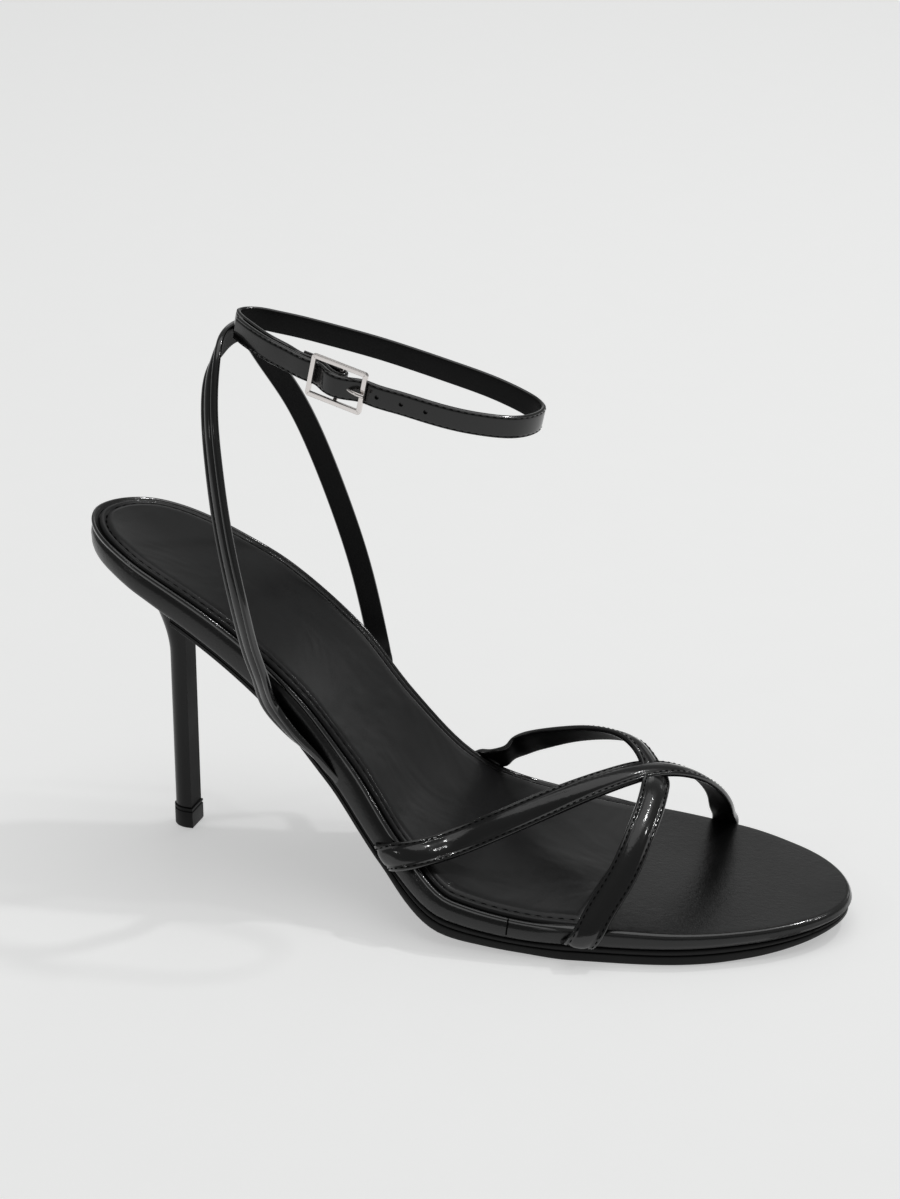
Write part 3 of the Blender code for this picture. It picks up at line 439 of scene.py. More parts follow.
# Stitches: their sizes, the share of the half width where a row lies, and the two shares of the
# strap's length between which it runs
STITCH_PITCH = 0.0019
STITCH_LENGTH = 0.0013
STITCH_RADIUS = 0.00019
TOE_STITCH_PLACE = 0.78
TOE_STITCH_SPAN = (0.03, 0.97)
SIDE_STITCH_PLACE = 0.46
SIDE_STITCH_SPAN = (0.02, 0.98)
ANKLE_STITCH_PLACE = 0.81
ANKLE_STITCH_SPAN = (0.30, 0.98)
PAD_STITCH_PITCH = 0.0030
PAD_STITCH_LENGTH = 0.0020
PAD_STITCH_RADIUS = 0.00026

# Seam down the board's side: its share of FOOTBED_LENGTH, the radius of its dark line, and the
# rows of BOARD_RIM that it runs over
SEAM_STATION = 0.622
SEAM_RADIUS = 0.00022
SEAM_ROWS = (3, 14)

# Buckle: half section of the flat wire, in the buckle's plane and out of it, its bevel, the
# frame's corner radius, and how far the centre bar's bends lie outside and inside the room that
# the strap has between them
WIRE_HALF_WIDTH = 0.00064
WIRE_HALF_HEIGHT = 0.00050
WIRE_BEVEL = 0.00016
WIRE_CORNER = 0.00035
BAR_BEND_OUT = 0.0004
BAR_BEND_IN = 0.0006

# Punched holes: distance from the buckle's middle towards the front, radius, depth, and how far
# the punch stands over the strap's middle line
HOLE_PLACES = (0.0112, 0.0178, 0.0246)
HOLE_RADIUS = 0.0006
HOLE_DEPTH = 0.0008
HOLE_SIDES = 20
PUNCH_TOP = 0.003

# Leathers and rubbers. dark and light: the colours between which each varies. rough: its roughness.
# grain, crease: the scale of each and its height in metres. coat: varnish. shine: specular level.
BLACK = (0.0020, 0.0020, 0.0022)
SOFT_BLACK = (0.0042, 0.0042, 0.0045)
PAD_BLACK = (0.0090, 0.0090, 0.0095)
PAD_GREY = (0.0140, 0.0140, 0.0145)
LEATHER_COLUMNS = ("dark", "light", "rough", "grain", "crease", "coat", "shine")
LEATHERS = {
    "strap_face": (BLACK, SOFT_BLACK, 0.30, (2600, 0.000008), (900, 0.00004), 0.90, 0.2),
    "smooth_face": (BLACK, SOFT_BLACK, 0.30, (2600, 0.000006), (120, 0.00005), 0.70, 0.2),
    "strap_edge": (BLACK, SOFT_BLACK, 0.20, (1500, 0.00001), (300, 0.00004), 0.80, 0.5),
    "strap_lining": (BLACK, SOFT_BLACK, 0.55, (1900, 0.00008), (400, 0.00005), 0.0, 0.2),
    "bed_face": (BLACK, SOFT_BLACK, 0.33, (1900, 0.00009), (700, 0.00006), 0.30, 0.35),
    "rim_face": (BLACK, SOFT_BLACK, 0.18, (2300, 0.00001), (500, 0.00004), 1.0, 0.5),
    "pad_face": (PAD_BLACK, PAD_GREY, 0.36, (2300, 0.00004), (32, 0.00060), 0.15, 0.3),
    "heel_face": (BLACK, SOFT_BLACK, 0.26, (1800, 0.00001), (160, 0.00003), 0.15, 0.2),
    # The heel's front face: a darker, duller copy of heel_face, partly a matte covering and partly
    # painted shade
    "shaded_heel_breast": (BLACK, BLACK, 0.50, (1800, 0.00002), (160, 0.00003), 0.0, 0.08),
    "sole_face": (BLACK, SOFT_BLACK, 0.45, (1500, 0.00003), (240, 0.00004), 0.0, 0.25),
    "tip_face": (BLACK, SOFT_BLACK, 0.50, (1800, 0.00003), (200, 0.00003), 0.0, 0.2),
    "thread": (BLACK, BLACK, 0.60, (4000, 0.00005), (900, 0.00004), 0.0, 0.05),
}
COAT_ROUGHNESS = 0.08
PATCH_SCALE = 45.0
# Near-black matte: painted shade in the blind holes, and on the side seams, whose dark line is partly
# their own
PAINTED_SHADE_COLOUR = (0.001, 0.001, 0.001)
METAL_COLOUR = (0.80, 0.76, 0.74)


def smooth(known, values, at):
    """Monotone cubic curve through a table's values."""
    known = np.asarray(known, float)
    values = np.asarray(values, float)
    steps = np.diff(known)
    slopes = np.diff(values) / steps
    bends = np.zeros(len(known))
    bends[0] = slopes[0]
    bends[-1] = slopes[-1]
    for i in range(1, len(known) - 1):
        if slopes[i - 1] * slopes[i] > 0:
            before = 2 * steps[i] + steps[i - 1]
            after = steps[i] + 2 * steps[i - 1]
            bends[i] = (before + after) / (before / slopes[i - 1] + after / slopes[i])
    at = np.clip(np.asarray(at, float), known[0], known[-1])
    i = np.clip(np.searchsorted(known, at, side="right") - 1, 0, len(steps) - 1)
    t = (at - known[i]) / steps[i]
    start = values[i] * (1 + 2 * t) * (1 - t) ** 2 + bends[i] * steps[i] * t * (1 - t) ** 2
    end = values[i + 1] * t * t * (3 - 2 * t) + bends[i + 1] * steps[i] * t * t * (t - 1)
    return start + end


def column(table, columns, name, at, rounded=False):
    """One column of a table at a share of the length; rounded gives blunt, round ends."""
    rows = np.array(table)
    known = rows[:, 0]
    if rounded:
        known = np.arccos(1 - 2 * known)
        at = np.arccos(1 - 2 * np.clip(np.asarray(at, float), 0, 1))
    return smooth(known, rows[:, columns.index(name)], at)


def run_along(points):
    """Distance along a row of points, from the first to each of them."""
    return np.concatenate([[0], np.cumsum(np.linalg.norm(np.diff(points, axis=0), axis=1))])


def read_at(wanted, known, values):
    """Each column of values, read at wanted places between the known ones."""
    return np.stack([np.interp(wanted, known, values[:, k]) for k in range(values.shape[1])], 1)


def tangents(path):
    """Unit directions along a path, each shared by the two legs that meet there."""
    legs = unit(np.diff(path, axis=0))
    return unit(np.concatenate([legs[:1], legs[:-1] + legs[1:], legs[-1:]]))


def left_of(directions):
    """Flat directions, turned a quarter to the left."""
    return np.stack([-directions[:, 1], directions[:, 0]], 1)


def circle(first, second, sides):
    """Points round a circle of radius 1, in the plane of two directions square to each other."""
    turns = 2 * math.pi * np.arange(sides) / sides
    return np.outer(np.cos(turns), first) + np.outer(np.sin(turns), second)


def spline(points, count):
    """Natural cubic curve through points, resampled at equal steps along its length."""
    points = np.asarray(points, float)
    knots = run_along(points)
    steps = np.diff(knots)
    size = len(points)
    system = np.zeros((size, size))
    right = np.zeros((size, points.shape[1]))
    system[0, 0] = 1.0
    system[-1, -1] = 1.0
    for i in range(1, size - 1):
        system[i, i - 1 : i + 2] = steps[i - 1], 2 * (steps[i - 1] + steps[i]), steps[i]
        bend = (points[i + 1] - points[i]) / steps[i] - (points[i] - points[i - 1]) / steps[i - 1]
        right[i] = 6 * bend
    second = np.linalg.solve(system, right)

    def at(values):
        i = np.clip(np.searchsorted(knots, values, side="right") - 1, 0, size - 2)
        h = steps[i][:, None]
        a = (knots[i + 1][:, None] - values[:, None]) / h
        b = 1 - a
        curve = a * points[i] + b * points[i + 1]
        return curve + ((a**3 - a) * second[i] + (b**3 - b) * second[i + 1]) * h * h / 6

    fine = at(np.linspace(0, knots[-1], 40 * size))
    lengths = run_along(fine)
    return read_at(np.linspace(0, lengths[-1], count), lengths, fine)


def unit(vectors):
    vectors = np.asarray(vectors, float)
    return vectors / np.linalg.norm(vectors, axis=-1, keepdims=True)


def board_value(name, along):
    rounded = name in ("lateral", "medial")
    return column(BOARD_TABLE, BOARD_COLUMNS, name, along, rounded)


def along_of(x):
    return (np.asarray(x, float) + HEEL_SETBACK) / FOOTBED_LENGTH


def x_of(along):
    return np.asarray(along, float) * FOOTBED_LENGTH - HEEL_SETBACK


def top_height(x):
    rise = SEAT_HEIGHT - FOREFOOT_HEIGHT
    return FOREFOOT_HEIGHT + rise * board_value("height", along_of(x))


def profile_normal(x):
    """Unit normal of the footbed's profile, in the XZ plane, pointing up."""
    step = 0.001
    slope = (top_height(x + step) - top_height(x - step)) / (2 * step)
    return unit(np.stack([-slope, np.zeros_like(slope), np.ones_like(slope)], -1))


def depth_direction(x):
    """Upward direction of the sole's thickness: square to the profile, upright at the heel's back."""
    lean = np.clip(along_of(x) / UPRIGHT_BACK, 0, 1)
    normal = profile_normal(x)
    return unit(normal * np.stack([lean, np.ones_like(lean), np.ones_like(lean)], -1))


def bed_point(x, y, depth):
    """The point at a depth below the footbed."""
    x = np.asarray(x, float)
    base = np.stack([x, np.broadcast_to(y, x.shape), top_height(x)], -1)
    return base - depth_direction(x) * np.broadcast_to(depth, x.shape)[..., None]


def under_height(x, extra):
    """Height of the board's underside, plus some extra depth, straight under a plan place."""
    start = np.asarray(x, float)
    for _ in range(6):
        depth = board_thickness(start) + extra
        start = x + depth_direction(start)[..., 0] * depth
    return bed_point(start, 0.0, board_thickness(start) + extra)[..., 2]


def board_thickness(x):
    return BOARD_THICKNESS * board_value("thick", along_of(x))


def cup(x, y):
    """How far the footbed is hollowed at a point, none at its edges."""
    along = along_of(x)
    lateral = board_value("lateral", along) * BALL_WIDTH
    medial = board_value("medial", along) * BALL_WIDTH
    middle = (medial - lateral) / 2
    half = np.maximum((medial + lateral) / 2, 1e-4)
    share = np.clip(np.abs(y - middle) / half, 0, 1)
    return CUP_DEPTH * board_value("cup", along) * (1 - share**2)


def stations(start, end, count):
    """Shares of the footbed, close together at a round end."""
    angles = np.linspace(math.acos(1 - 2 * start), math.acos(1 - 2 * end), count + 1)
    return (1 - np.cos(angles)) / 2


def outline(start, end, count):
    """Plan loop of the footbed between two stations, and its inward normals.

    It starts at the rear, follows the lateral edge to the front and comes back on the medial edge.
    """
    along = stations(start, end, count)
    x = x_of(along)
    lateral = -board_value("lateral", along) * BALL_WIDTH
    medial = board_value("medial", along) * BALL_WIDTH
    near = np.stack([x, lateral], 1)
    far = np.stack([x, medial], 1)
    if start == 0:
        far = far[1:]
    if end == 1:
        near[-1, 1] = (lateral[-1] + medial[-1]) / 2
        far = far[:-1]
    loop = np.concatenate([near, far[::-1]])
    ahead = np.roll(loop, -1, axis=0)
    behind = np.roll(loop, 1, axis=0)
    if start > 0:
        behind[0] = 2 * loop[0] - loop[1]
        ahead[-1] = 2 * loop[-1] - loop[-2]
    if end < 1:
        ahead[len(near) - 1] = 2 * near[-1] - near[-2]
        behind[len(near)] = 2 * loop[len(near)] - loop[len(near) + 1]
    return loop, left_of(unit(ahead - behind)), len(near)


def fill_rows(size, near_count, shared_rear):
    """Pairs of loop places that face each other across the shoe, from rear to front."""
    rows = []
    for i in range(near_count):
        if i < shared_rear:
            rows.append((i, i))
            continue
        partner = size - 1 - (i - shared_rear)
        rows.append((i, partner if partner >= near_count else i))
    return rows


def sole_value(name, along):
    return column(SOLE_TABLE, SOLE_COLUMNS, name, along)


def d_section(depth, width, count):
    """D-shaped plan of the heel: a flat front and a round back, as far round as count points."""
    turns = np.linspace(-math.pi / 2, math.pi / 2, count // 2 + 1)
    straight = 0.30 * depth
    middle = depth / 2 - straight
    back = [(middle - (depth - straight) * math.cos(a), -width / 2 * math.sin(a)) for a in turns]
    rows = count - len(back)
    side = np.linspace(-width / 2, width / 2, rows + 2)[1:-1]
    front = [(depth / 2, y) for y in side]
    return np.array(back + front)


def resample_like(loop, model):
    """A closed plan loop resampled so that each point lies in the direction of the model's."""
    closed = np.concatenate([loop, loop[:1]])
    lengths = run_along(closed)
    dense = read_at(np.linspace(0, lengths[-1], 721)[:-1], lengths, closed)
    centre = np.array([model[:, 0].max() - 1e-4, 0.0])
    angles = np.arctan2(dense[:, 1], dense[:, 0] - centre[0])
    picked = []
    for point in model:
        if point[0] > centre[0]:
            width = np.abs(model[:, 1]).max()
            reach = np.abs(dense[:, 1]).max()
            picked.append((model[:, 0].max(), point[1] / width * reach))
            continue
        angle = math.atan2(point[1], point[0] - centre[0])
        gap = np.abs(np.angle(np.exp(1j * (angles - angle))))
        picked.append(tuple(dense[int(gap.argmin())]))
    return np.array(picked)


def edge_frame(along, side):
    """A place on the board's top edge, with its outward, upward and forward directions.

    side is -1 on the lateral edge and 1 on the medial edge.
    """
    name = "lateral" if side < 0 else "medial"

    def place(share):
        y = side * float(board_value(name, share)) * BALL_WIDTH
        return bed_point(np.array(x_of(share)), y, 0.0)

    forward = unit(place(along + EDGE_STEP) - place(along - EDGE_STEP))
    upward = profile_normal(np.array(x_of(along)))
    outward = side * unit(np.cross(upward, forward))
    return place(along), outward, upward, forward


def tucked_depth(along):
    """Depth of the middle of a tucked strap under the footbed."""
    return float(board_thickness(x_of(along))) - STRAP_THICKNESS / 2 - CLEARANCE / 2


def anchor(end):
    """Where a strap goes down the board's side and under it: points and facing directions.

    end is the station, the side and the slant, which is how far the strap runs forward for each
    step down. The first point is above the edge, and the last is the strap's end.
    """
    along, side, slant = end
    edge, outward, upward, forward = edge_frame(along, side)
    under = tucked_depth(along)
    clear = 2.2 * CLEARANCE + STRAP_THICKNESS / 2 + 0.15 * BOARD_EDGE_RADIUS
    turn = STRAP_THICKNESS * 0.75
    over = CLEARANCE + STRAP_THICKNESS / 2 + PAD_THICKNESS
    rows = (
        (-0.3 * over, -1.15 * over, -over, 0.8, 0.8),
        (clear, 0.15 * under, 0.15 * under, 1, 0.15),
        (clear, under - turn, under - turn, 1, -0.10),
        (clear - 0.3 * turn, under - 0.3 * turn, under - 0.4 * turn, 1, -1),
        (clear - turn, under, under + 0.3 * turn, 0.10, -1),
        (-TUCK_LENGTH, under, under + TUCK_LENGTH, 0, -1),
    )
    points = [
        edge + outward * out - upward * depth + forward * slant * run
        for out, depth, run, _, _ in rows
    ]
    directions = [outward * sideways + upward * rise for _, _, _, sideways, rise in rows]
    return points, directions


def lateral_foot():
    """Points and facing directions of the side straps' lateral foot, from its end up."""
    points = []
    directions = []
    for along, out, depth, turn in LATERAL_FOOT_TABLE:
        edge, outward, upward, _ = edge_frame(along, -1)
        thick = float(board_thickness(x_of(along)))
        angle = math.radians(turn)
        points.append(edge + outward * out * BOARD_THICKNESS - upward * depth * thick)
        directions.append(outward * math.cos(angle) - upward * math.sin(angle))
    return points, directions


def over_foot(point):
    """Outward direction of the foot's form that the toe straps follow, turned up near the sole."""
    lift = (point[2] - bed_point(np.array(point[0]), 0.0, 0.0)[2]) / TOE_ARCH_HEIGHT
    axis = FOOT_AXIS - TURN_UP * max(0.0, TURN_UP_UNDER - lift)
    return unit(np.array([0.28, point[1] / (0.5 * BALL_WIDTH), lift - axis]))


def strap_path(table, ends):
    """Path and facing directions of a toe strap, from its rear end to its front end."""
    rear_x = float(x_of(TOE_ARCH_START))
    points, directions = anchor(ends[0])
    points = points[::-1]
    directions = directions[::-1]
    for along, across, rise in table:
        x = rear_x + along * TOE_ARCH_REACH
        y = across * BALL_WIDTH
        point = bed_point(np.array(x), y, 0.0)
        point[2] += rise * TOE_ARCH_HEIGHT
        points.append(point)
        directions.append(over_foot(point))
    more, facing = anchor(ends[1])
    points += more
    directions += facing
    return strap_route(points, directions)


def strap_route(points, directions):
    """A smooth route through the points, with the direction that the strap's face looks."""
    points = np.array(points)
    ways = unit(np.array(directions))
    known = run_along(points)
    at = np.linspace(0, known[-1], FINE_COUNT)
    return spline(points, FINE_COUNT), unit(read_at(at, known, ways))


def toe_strap_routes():
    upper = strap_path(UPPER_STRAP_TABLE, UPPER_STRAP_ENDS)
    lower = strap_path(LOWER_STRAP_TABLE, LOWER_STRAP_ENDS)
    return upper, lower


def side_leg(table, side):
    """Points and facing directions of one leg of the side straps, from the sole up."""
    foot = bed_point(np.array(x_of(SIDE_STRAP_FOOT)), 0.0, 0.0)
    foot[2] -= board_thickness(foot[0])
    points = []
    directions = []
    for rise, spread, lean in table:
        across = side * spread
        leaning = -lean * SIDE_STRAP_LEAN
        points.append(foot + (leaning, across * SIDE_STRAP_SPREAD, rise * SIDE_STRAP_RISE))
        backward = SIDE_STRAP_TWIST * spread + SIDE_STRAP_ROLL * max(0.0, rise - SIDE_STRAP_KNEE)
        downward = SIDE_STRAP_TUCK * max(0.0, SIDE_STRAP_HEM - rise)
        directions.append(np.array([-backward, across, -downward]))
    return points, directions


def side_strap_route():
    """Path and facing of the side straps, up the lateral side, behind the ankle and down."""
    points, directions = lateral_foot()
    lateral, lateral_facing = side_leg(LATERAL_TABLE + SIDE_TABLE, -1)
    medial, medial_facing = side_leg(MEDIAL_TABLE + SIDE_TABLE, 1)
    rise, lean = SIDE_STRAP_TOP
    top, _ = side_leg(((rise, 0.0, lean),), 1)
    end, end_facing = anchor(MEDIAL_STRAP_END)
    points += lateral + top + medial[::-1] + end[2:]
    directions += lateral_facing + [np.array([-1.0, 0.0, 0.15])] + medial_facing[::-1] + end_facing[2:]
    return strap_route(points, directions)


def loop_curve(count=240):
    """Middle line of the ankle loop, in its own plane: forward and medial places.

    It runs from the back along the lateral side to the front and back on the medial side.
    """
    share = (1 - np.cos(np.linspace(0, math.pi, count))) / 2
    lateral = -column(LOOP_TABLE, LOOP_COLUMNS, "lateral", share, True) * ANKLE_LOOP_HALF_WIDTH
    medial = column(LOOP_TABLE, LOOP_COLUMNS, "medial", share, True) * ANKLE_LOOP_HALF_WIDTH
    near = np.stack([share * ANKLE_LOOP_LENGTH, lateral], 1)
    far = np.stack([share * ANKLE_LOOP_LENGTH, medial], 1)
    return near, far


def loop_to_space(flat, across=0.0):
    """From the ankle loop's plane, plus a distance across the strap's width, to world places."""
    flat = np.asarray(flat, float)
    across = np.broadcast_to(np.asarray(across, float), flat.shape[:-1])
    forward = np.array([math.cos(ANKLE_LOOP_TILT), 0.0, -math.sin(ANKLE_LOOP_TILT)])
    upward = np.array([math.sin(ANKLE_LOOP_TILT), 0.0, math.cos(ANKLE_LOOP_TILT)])
    start = np.array([ANKLE_LOOP_BACK, 0.0, ANKLE_LOOP_LEVEL])
    sideways = np.array([0.0, 1.0, 0.0])
    return start + flat[..., :1] * forward + flat[..., 1:2] * sideways + across[..., None] * upward


def buckle_frame_axes():
    """Place of the centre of the buckle in the loop's plane, and its forward and outward axes."""
    near, _ = loop_curve()
    reach = BUCKLE_STATION * ANKLE_LOOP_LENGTH
    half = BUCKLE_LENGTH / 2
    at = [np.array([x, np.interp(x, near[:, 0], near[:, 1])]) for x in (reach - half, reach + half)]
    forward = unit(at[1] - at[0])
    outward = np.array([forward[1], -forward[0]])
    return (at[0] + at[1]) / 2, forward, outward


def buckle_levels():
    """Heights over the strap's middle line, in the buckle: its wire, centre bar, fold and strap."""
    strap = ANKLE_STRAP_THICKNESS / 2
    wire = strap + CLEARANCE + BUCKLE_WIRE / 2
    bar = wire - BAR_DROP
    fold = bar + BAR_RADIUS + CLEARANCE + FOLD_THICKNESS / 2
    over = fold + FOLD_THICKNESS / 2 + CLEARANCE + strap
    return wire, bar, fold, over


def in_buckle(rows):
    centre, forward, outward = buckle_frame_axes()
    rows = np.asarray(rows, float)
    return centre + rows[:, :1] * forward + rows[:, 1:2] * outward


def ankle_strap_route():
    """The whole ankle strap in its plane: fold, lateral side, back, medial side, front, tail."""
    _, bar, fold, over = buckle_levels()
    reach = BUCKLE_LENGTH / 2 - BUCKLE_WIRE / 2
    layer = ANKLE_STRAP_THICKNESS + CLEARANCE + 0.0002
    turn = fold - bar
    below = -layer - FOLD_THICKNESS / 2 - ANKLE_STRAP_THICKNESS / 2 - CLEARANCE
    inner = [(-FOLD_LENGTH, below), (-1.32 * reach, below), (-0.8 * reach, 0.75 * below)]
    inner += [(-0.4 * reach, bar - turn - 0.0003)]
    around = [(turn * math.sin(a), bar - turn * math.cos(a)) for a in np.linspace(0, math.pi, 7)]
    outer = [(-0.4 * reach, fold - 0.0009), (-0.8 * reach, -0.72 * layer), (-1.32 * reach, -layer)]
    outer += [(-FOLD_LENGTH, -layer)]
    fold_part = in_buckle(inner + around + outer)
    near, far = loop_curve()
    under = near + left_of(unit(np.gradient(near, axis=0))) * layer
    buckle_reach = BUCKLE_STATION * ANKLE_LOOP_LENGTH
    tail_end = TAIL_STATION * ANKLE_LOOP_LENGTH
    stop = buckle_reach - FOLD_LENGTH - 0.004
    start = tail_end + 1.5 * layer
    back = [under[i] for i in range(len(near) - 1, 0, -1) if start < near[i, 0] < stop][::12]
    turning = [(layer, 0.0)]
    medial = [far[i] for i in range(len(far)) if far[i, 0] > 3 * layer][::12]
    front_stop = buckle_reach + BUCKLE_LENGTH * 0.95
    front = [near[i] for i in range(len(near) - 6, 0, -1) if near[i, 0] > front_stop][::12]
    through = [(1.3 * reach, 0.0), (reach, 0.0), (0.76 * reach, 0.0005), (0.4 * reach, 0.72 * over)]
    through += [(0.0, over)]
    through += [(-x, n) for x, n in through[-2::-1]]
    through = in_buckle(through)
    tail_start = buckle_reach - BUCKLE_LENGTH * 0.95
    tail = [near[i] for i in range(len(near) - 1, 0, -1) if tail_end < near[i, 0] < tail_start][::12]
    parts = [fold_part, back, turning, medial, front, through, tail]
    return np.concatenate([np.asarray(p).reshape(-1, 2) for p in parts])


def buckle_place(rows):
    """World places of (forward, outward, across) rows in the buckle."""
    rows = np.asarray(rows, float)
    return loop_to_space(in_buckle(rows[:, :2]), rows[:, 2])


def prong_rows():
    """The prong's path in the buckle: its hook round the centre bar, then its arm to the wire."""
    wire, bar, _, _ = buckle_levels()
    reach = BUCKLE_LENGTH / 2 - BUCKLE_WIRE / 2
    turn = BAR_RADIUS + CLEARANCE + PRONG_RADIUS
    rest = wire + BUCKLE_WIRE / 2 + CLEARANCE + PRONG_RADIUS
    angles = np.linspace(math.radians(300), math.radians(95), 10)
    hook = [(turn * math.cos(a), bar + turn * math.sin(a), 0.0) for a in angles]
    arm = [(0.30 * reach, bar + turn + 0.0001, 0)]
    arm += [(0.55 * reach, 0.45 * (bar + turn) + 0.55 * rest, 0)]
    arm += [(0.82 * reach, rest - 0.0001, 0), (reach, rest, 0), (reach + 0.0011, rest - 0.0001, 0)]
    return hook + arm


def eased(values, reach):
    """Values along a route, each averaged with its neighbours."""
    weights = np.hanning(2 * reach + 1)
    weights /= weights.sum()
    padded = np.pad(values, ((reach, reach), (0, 0)), mode="edge")
    return np.stack([np.convolve(padded[:, k], weights, "valid") for k in range(values.shape[1])], 1)


def eased_inside(values, reach):
    """The same, with both ends left where they are."""
    softer = eased(values, reach)
    place = np.arange(len(values))
    share = np.clip(np.minimum(place, len(values) - 1 - place) / reach, 0, 1)[:, None]
    return values + (softer - values) * share


def linked(name, data):
    """A new object in the scene."""
    made = bpy.data.objects.new(name, data)
    bpy.context.scene.collection.objects.link(made)
    return made


def piece(name, points, faces, finishes, angle=40, which=None):
    """A mesh object that rides on the shoe; which gives each face's finish."""
    mesh = bpy.data.meshes.new(name)
    mesh.from_pydata(np.asarray(points, float).tolist(), [], [list(face) for face in faces])
    mesh.update()
    mesh.shade_smooth()
    mesh.set_sharp_from_angle(angle=math.radians(angle))
    for finish in finishes:
        mesh.materials.append(finish)
    if which is not None:
        mesh.polygons.foreach_set("material_index", np.asarray(which, np.int32))
    made = linked(name, mesh)
    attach(made, "root")
    return made


def ring_faces(rings, size, closed=False):
    """Quads between rings of points, each ring closed round."""
    faces = []
    last = rings if closed else rings - 1
    for k in range(last):
        after = (k + 1) % rings
        for i in range(size):
            j = (i + 1) % size
            faces.append((k * size + i, k * size + j, after * size + j, after * size + i))
    return faces


def capped(rings):
    """Points and faces of a closed form from a pile of rings; the first ring is the bottom."""
    size = len(rings[0])
    faces = [tuple(range(size))[::-1]]
    faces += ring_faces(len(rings), size)
    faces.append(tuple((len(rings) - 1) * size + i for i in range(size)))
    return np.concatenate(rings), faces


def whole_section(half, width, thickness):
    """A closed strap section from its half: places across and levels, in metres."""
    rows = np.array(half) * (width / 2, thickness / 2)
    mirrored = rows[1:] * (-1, 1)
    return np.concatenate([rows[::-1], mirrored])


def swept_axes(path, facing):
    """Outer directions and sideways directions along a strap."""
    tangent = tangents(path)
    outer = unit(facing - tangent * np.sum(facing * tangent, axis=1)[:, None])
    return outer, np.cross(outer, tangent)


def dressed_strap(name, path, facing, half, width, thickness, finishes, slot):
    """A strap with a leather face, painted edges and a lined back."""
    section = whole_section(half, width, 1.0)
    outer, side = swept_axes(path, facing)
    thickness = np.broadcast_to(thickness, len(path))[:, None]
    rings = [path + side * across + outer * thickness * level for across, level in section]
    points, faces = capped(list(np.stack(rings, 1)))
    middle = (section + np.roll(section, -1, axis=0)) / 2
    share = np.abs(middle[:, 0]) / (width / 2)
    kinds = np.where(share > EDGE_FROM, 1, np.where(middle[:, 1] < 0, 2, 0))
    which = [1] + list(np.tile(kinds, len(path) - 1)) + [1]
    return piece(name, points, faces, finishes, 50, which)


def stitch_row(points, normals, pitch=STITCH_PITCH, length=STITCH_LENGTH, radius=STITCH_RADIUS):
    """Points and faces of a row of raised stitches along a line on a surface."""
    points = np.asarray(points, float)
    run = run_along(points)
    count = int((run[-1] - length) / pitch)
    shares, swell, lift = np.array(STITCH_FORM).T
    all_points = []
    all_faces = []
    for k in range(count):
        middle = (k + 0.5) * pitch + (run[-1] - count * pitch) / 2
        at = middle + shares * length
        place = read_at(at, run, points)
        normal = unit(read_at(at, run, normals))
        tangent = unit(place[-1] - place[0])
        side = unit(np.cross(normal, tangent))
        rings = []
        for p, n, s, grow, up in zip(place, normal, side, swell, lift):
            rings.append(p + n * up * radius + radius * grow * circle(s, n, STITCH_SIDES))
        made, faces = capped(rings)
        start = len(all_points) * len(made)
        all_points.append(made)
        all_faces += [tuple(start + i for i in face) for face in faces]
    return np.concatenate(all_points), all_faces


def stitches(name, rows, finish, slot, **sizes):
    """One piece from several rows of stitches."""
    points = []
    faces = []
    total = 0
    for line, normals in rows:
        made, found = stitch_row(line, normals, **sizes)
        points.append(made)
        faces += [tuple(total + i for i in face) for face in found]
        total += len(made)
    return piece(name, np.concatenate(points), faces, [finish], 60)


def strap_stitches(name, path, facing, half, width, thickness, place, span, finish):
    """Rows of stitches near both edges of a strap, between two shares of its length."""
    rows = np.array(half)
    level = float(np.interp(place, rows[:10, 0], rows[:10, 1])) * thickness / 2
    outer, side = swept_axes(path, facing)
    kept = slice(*(int(share * len(path)) for share in span))
    lines = []
    for sign in (-1, 1):
        line = path + side * sign * place * width / 2 + outer * level
        lines.append((line[kept], outer[kept]))
    return stitches(name, lines, finish, "strap_leather")


def bed_surface(x, y, height):
    """Places over the hollowed footbed, at a height square to its profile."""
    x = np.asarray(x, float)
    y = np.broadcast_to(y, x.shape)
    level = np.broadcast_to(height, x.shape) - cup(x, y)
    return bed_point(x, y, -level)


def even_shares(count):
    """Shares between 0 and 1 that part a row into count parts."""
    return np.linspace(0, 1, count + 1)[1:-1]


def rows_between(loop, near_count, shares, shared_rear, placed):
    """Inner points and faces that fill a loop across the shoe, facing up."""
    size = len(loop)
    points = []
    faces = []
    ids = []
    for left, right in fill_rows(size, near_count, shared_rear):
        if left == right:
            ids.append([left] * (len(shares) + 2))
            continue
        row = [left]
        for share in shares:
            flat = loop[left] + (loop[right] - loop[left]) * share
            points.append(placed(flat))
            row.append(size + len(points) - 1)
        row.append(right)
        ids.append(row)
    for a, b in zip(ids[:-1], ids[1:]):
        for k in range(len(shares) + 1):
            quad = list(dict.fromkeys([a[k], b[k], b[k + 1], a[k + 1]]))
            if len(quad) > 2:
                faces.append(tuple(quad))
    return points, faces


def layered(name, loops, near_count, shares, shared_rear, tops, finishes, slot, kinds=None):
    """A closed form from plan loops with heights, filled across at its bottom and top.

    loops holds (plan, points) pairs from the bottom up; tops places a plan point of each fill.
    """
    size = len(loops[0][0])
    points = [places for _, places in loops]
    faces = ring_faces(len(loops), size)
    which = []
    for k in range(len(loops) - 1):
        which += [kinds[k] if kinds else 0] * size
    total = size * len(loops)
    for order, (index, placed) in enumerate(zip((0, len(loops) - 1), tops)):
        inner, filled = rows_between(loops[index][0], near_count, shares, shared_rear, placed)
        for face in filled:
            ids = [index * size + i if i < size else total + i - size for i in face]
            faces.append(ids if order else ids[::-1])
            which.append(kinds[index - 1] if kinds and order else 0)
        points.append(np.array(inner))
        total += len(inner)
    return piece(name, np.concatenate(points), faces, finishes, 50, which)


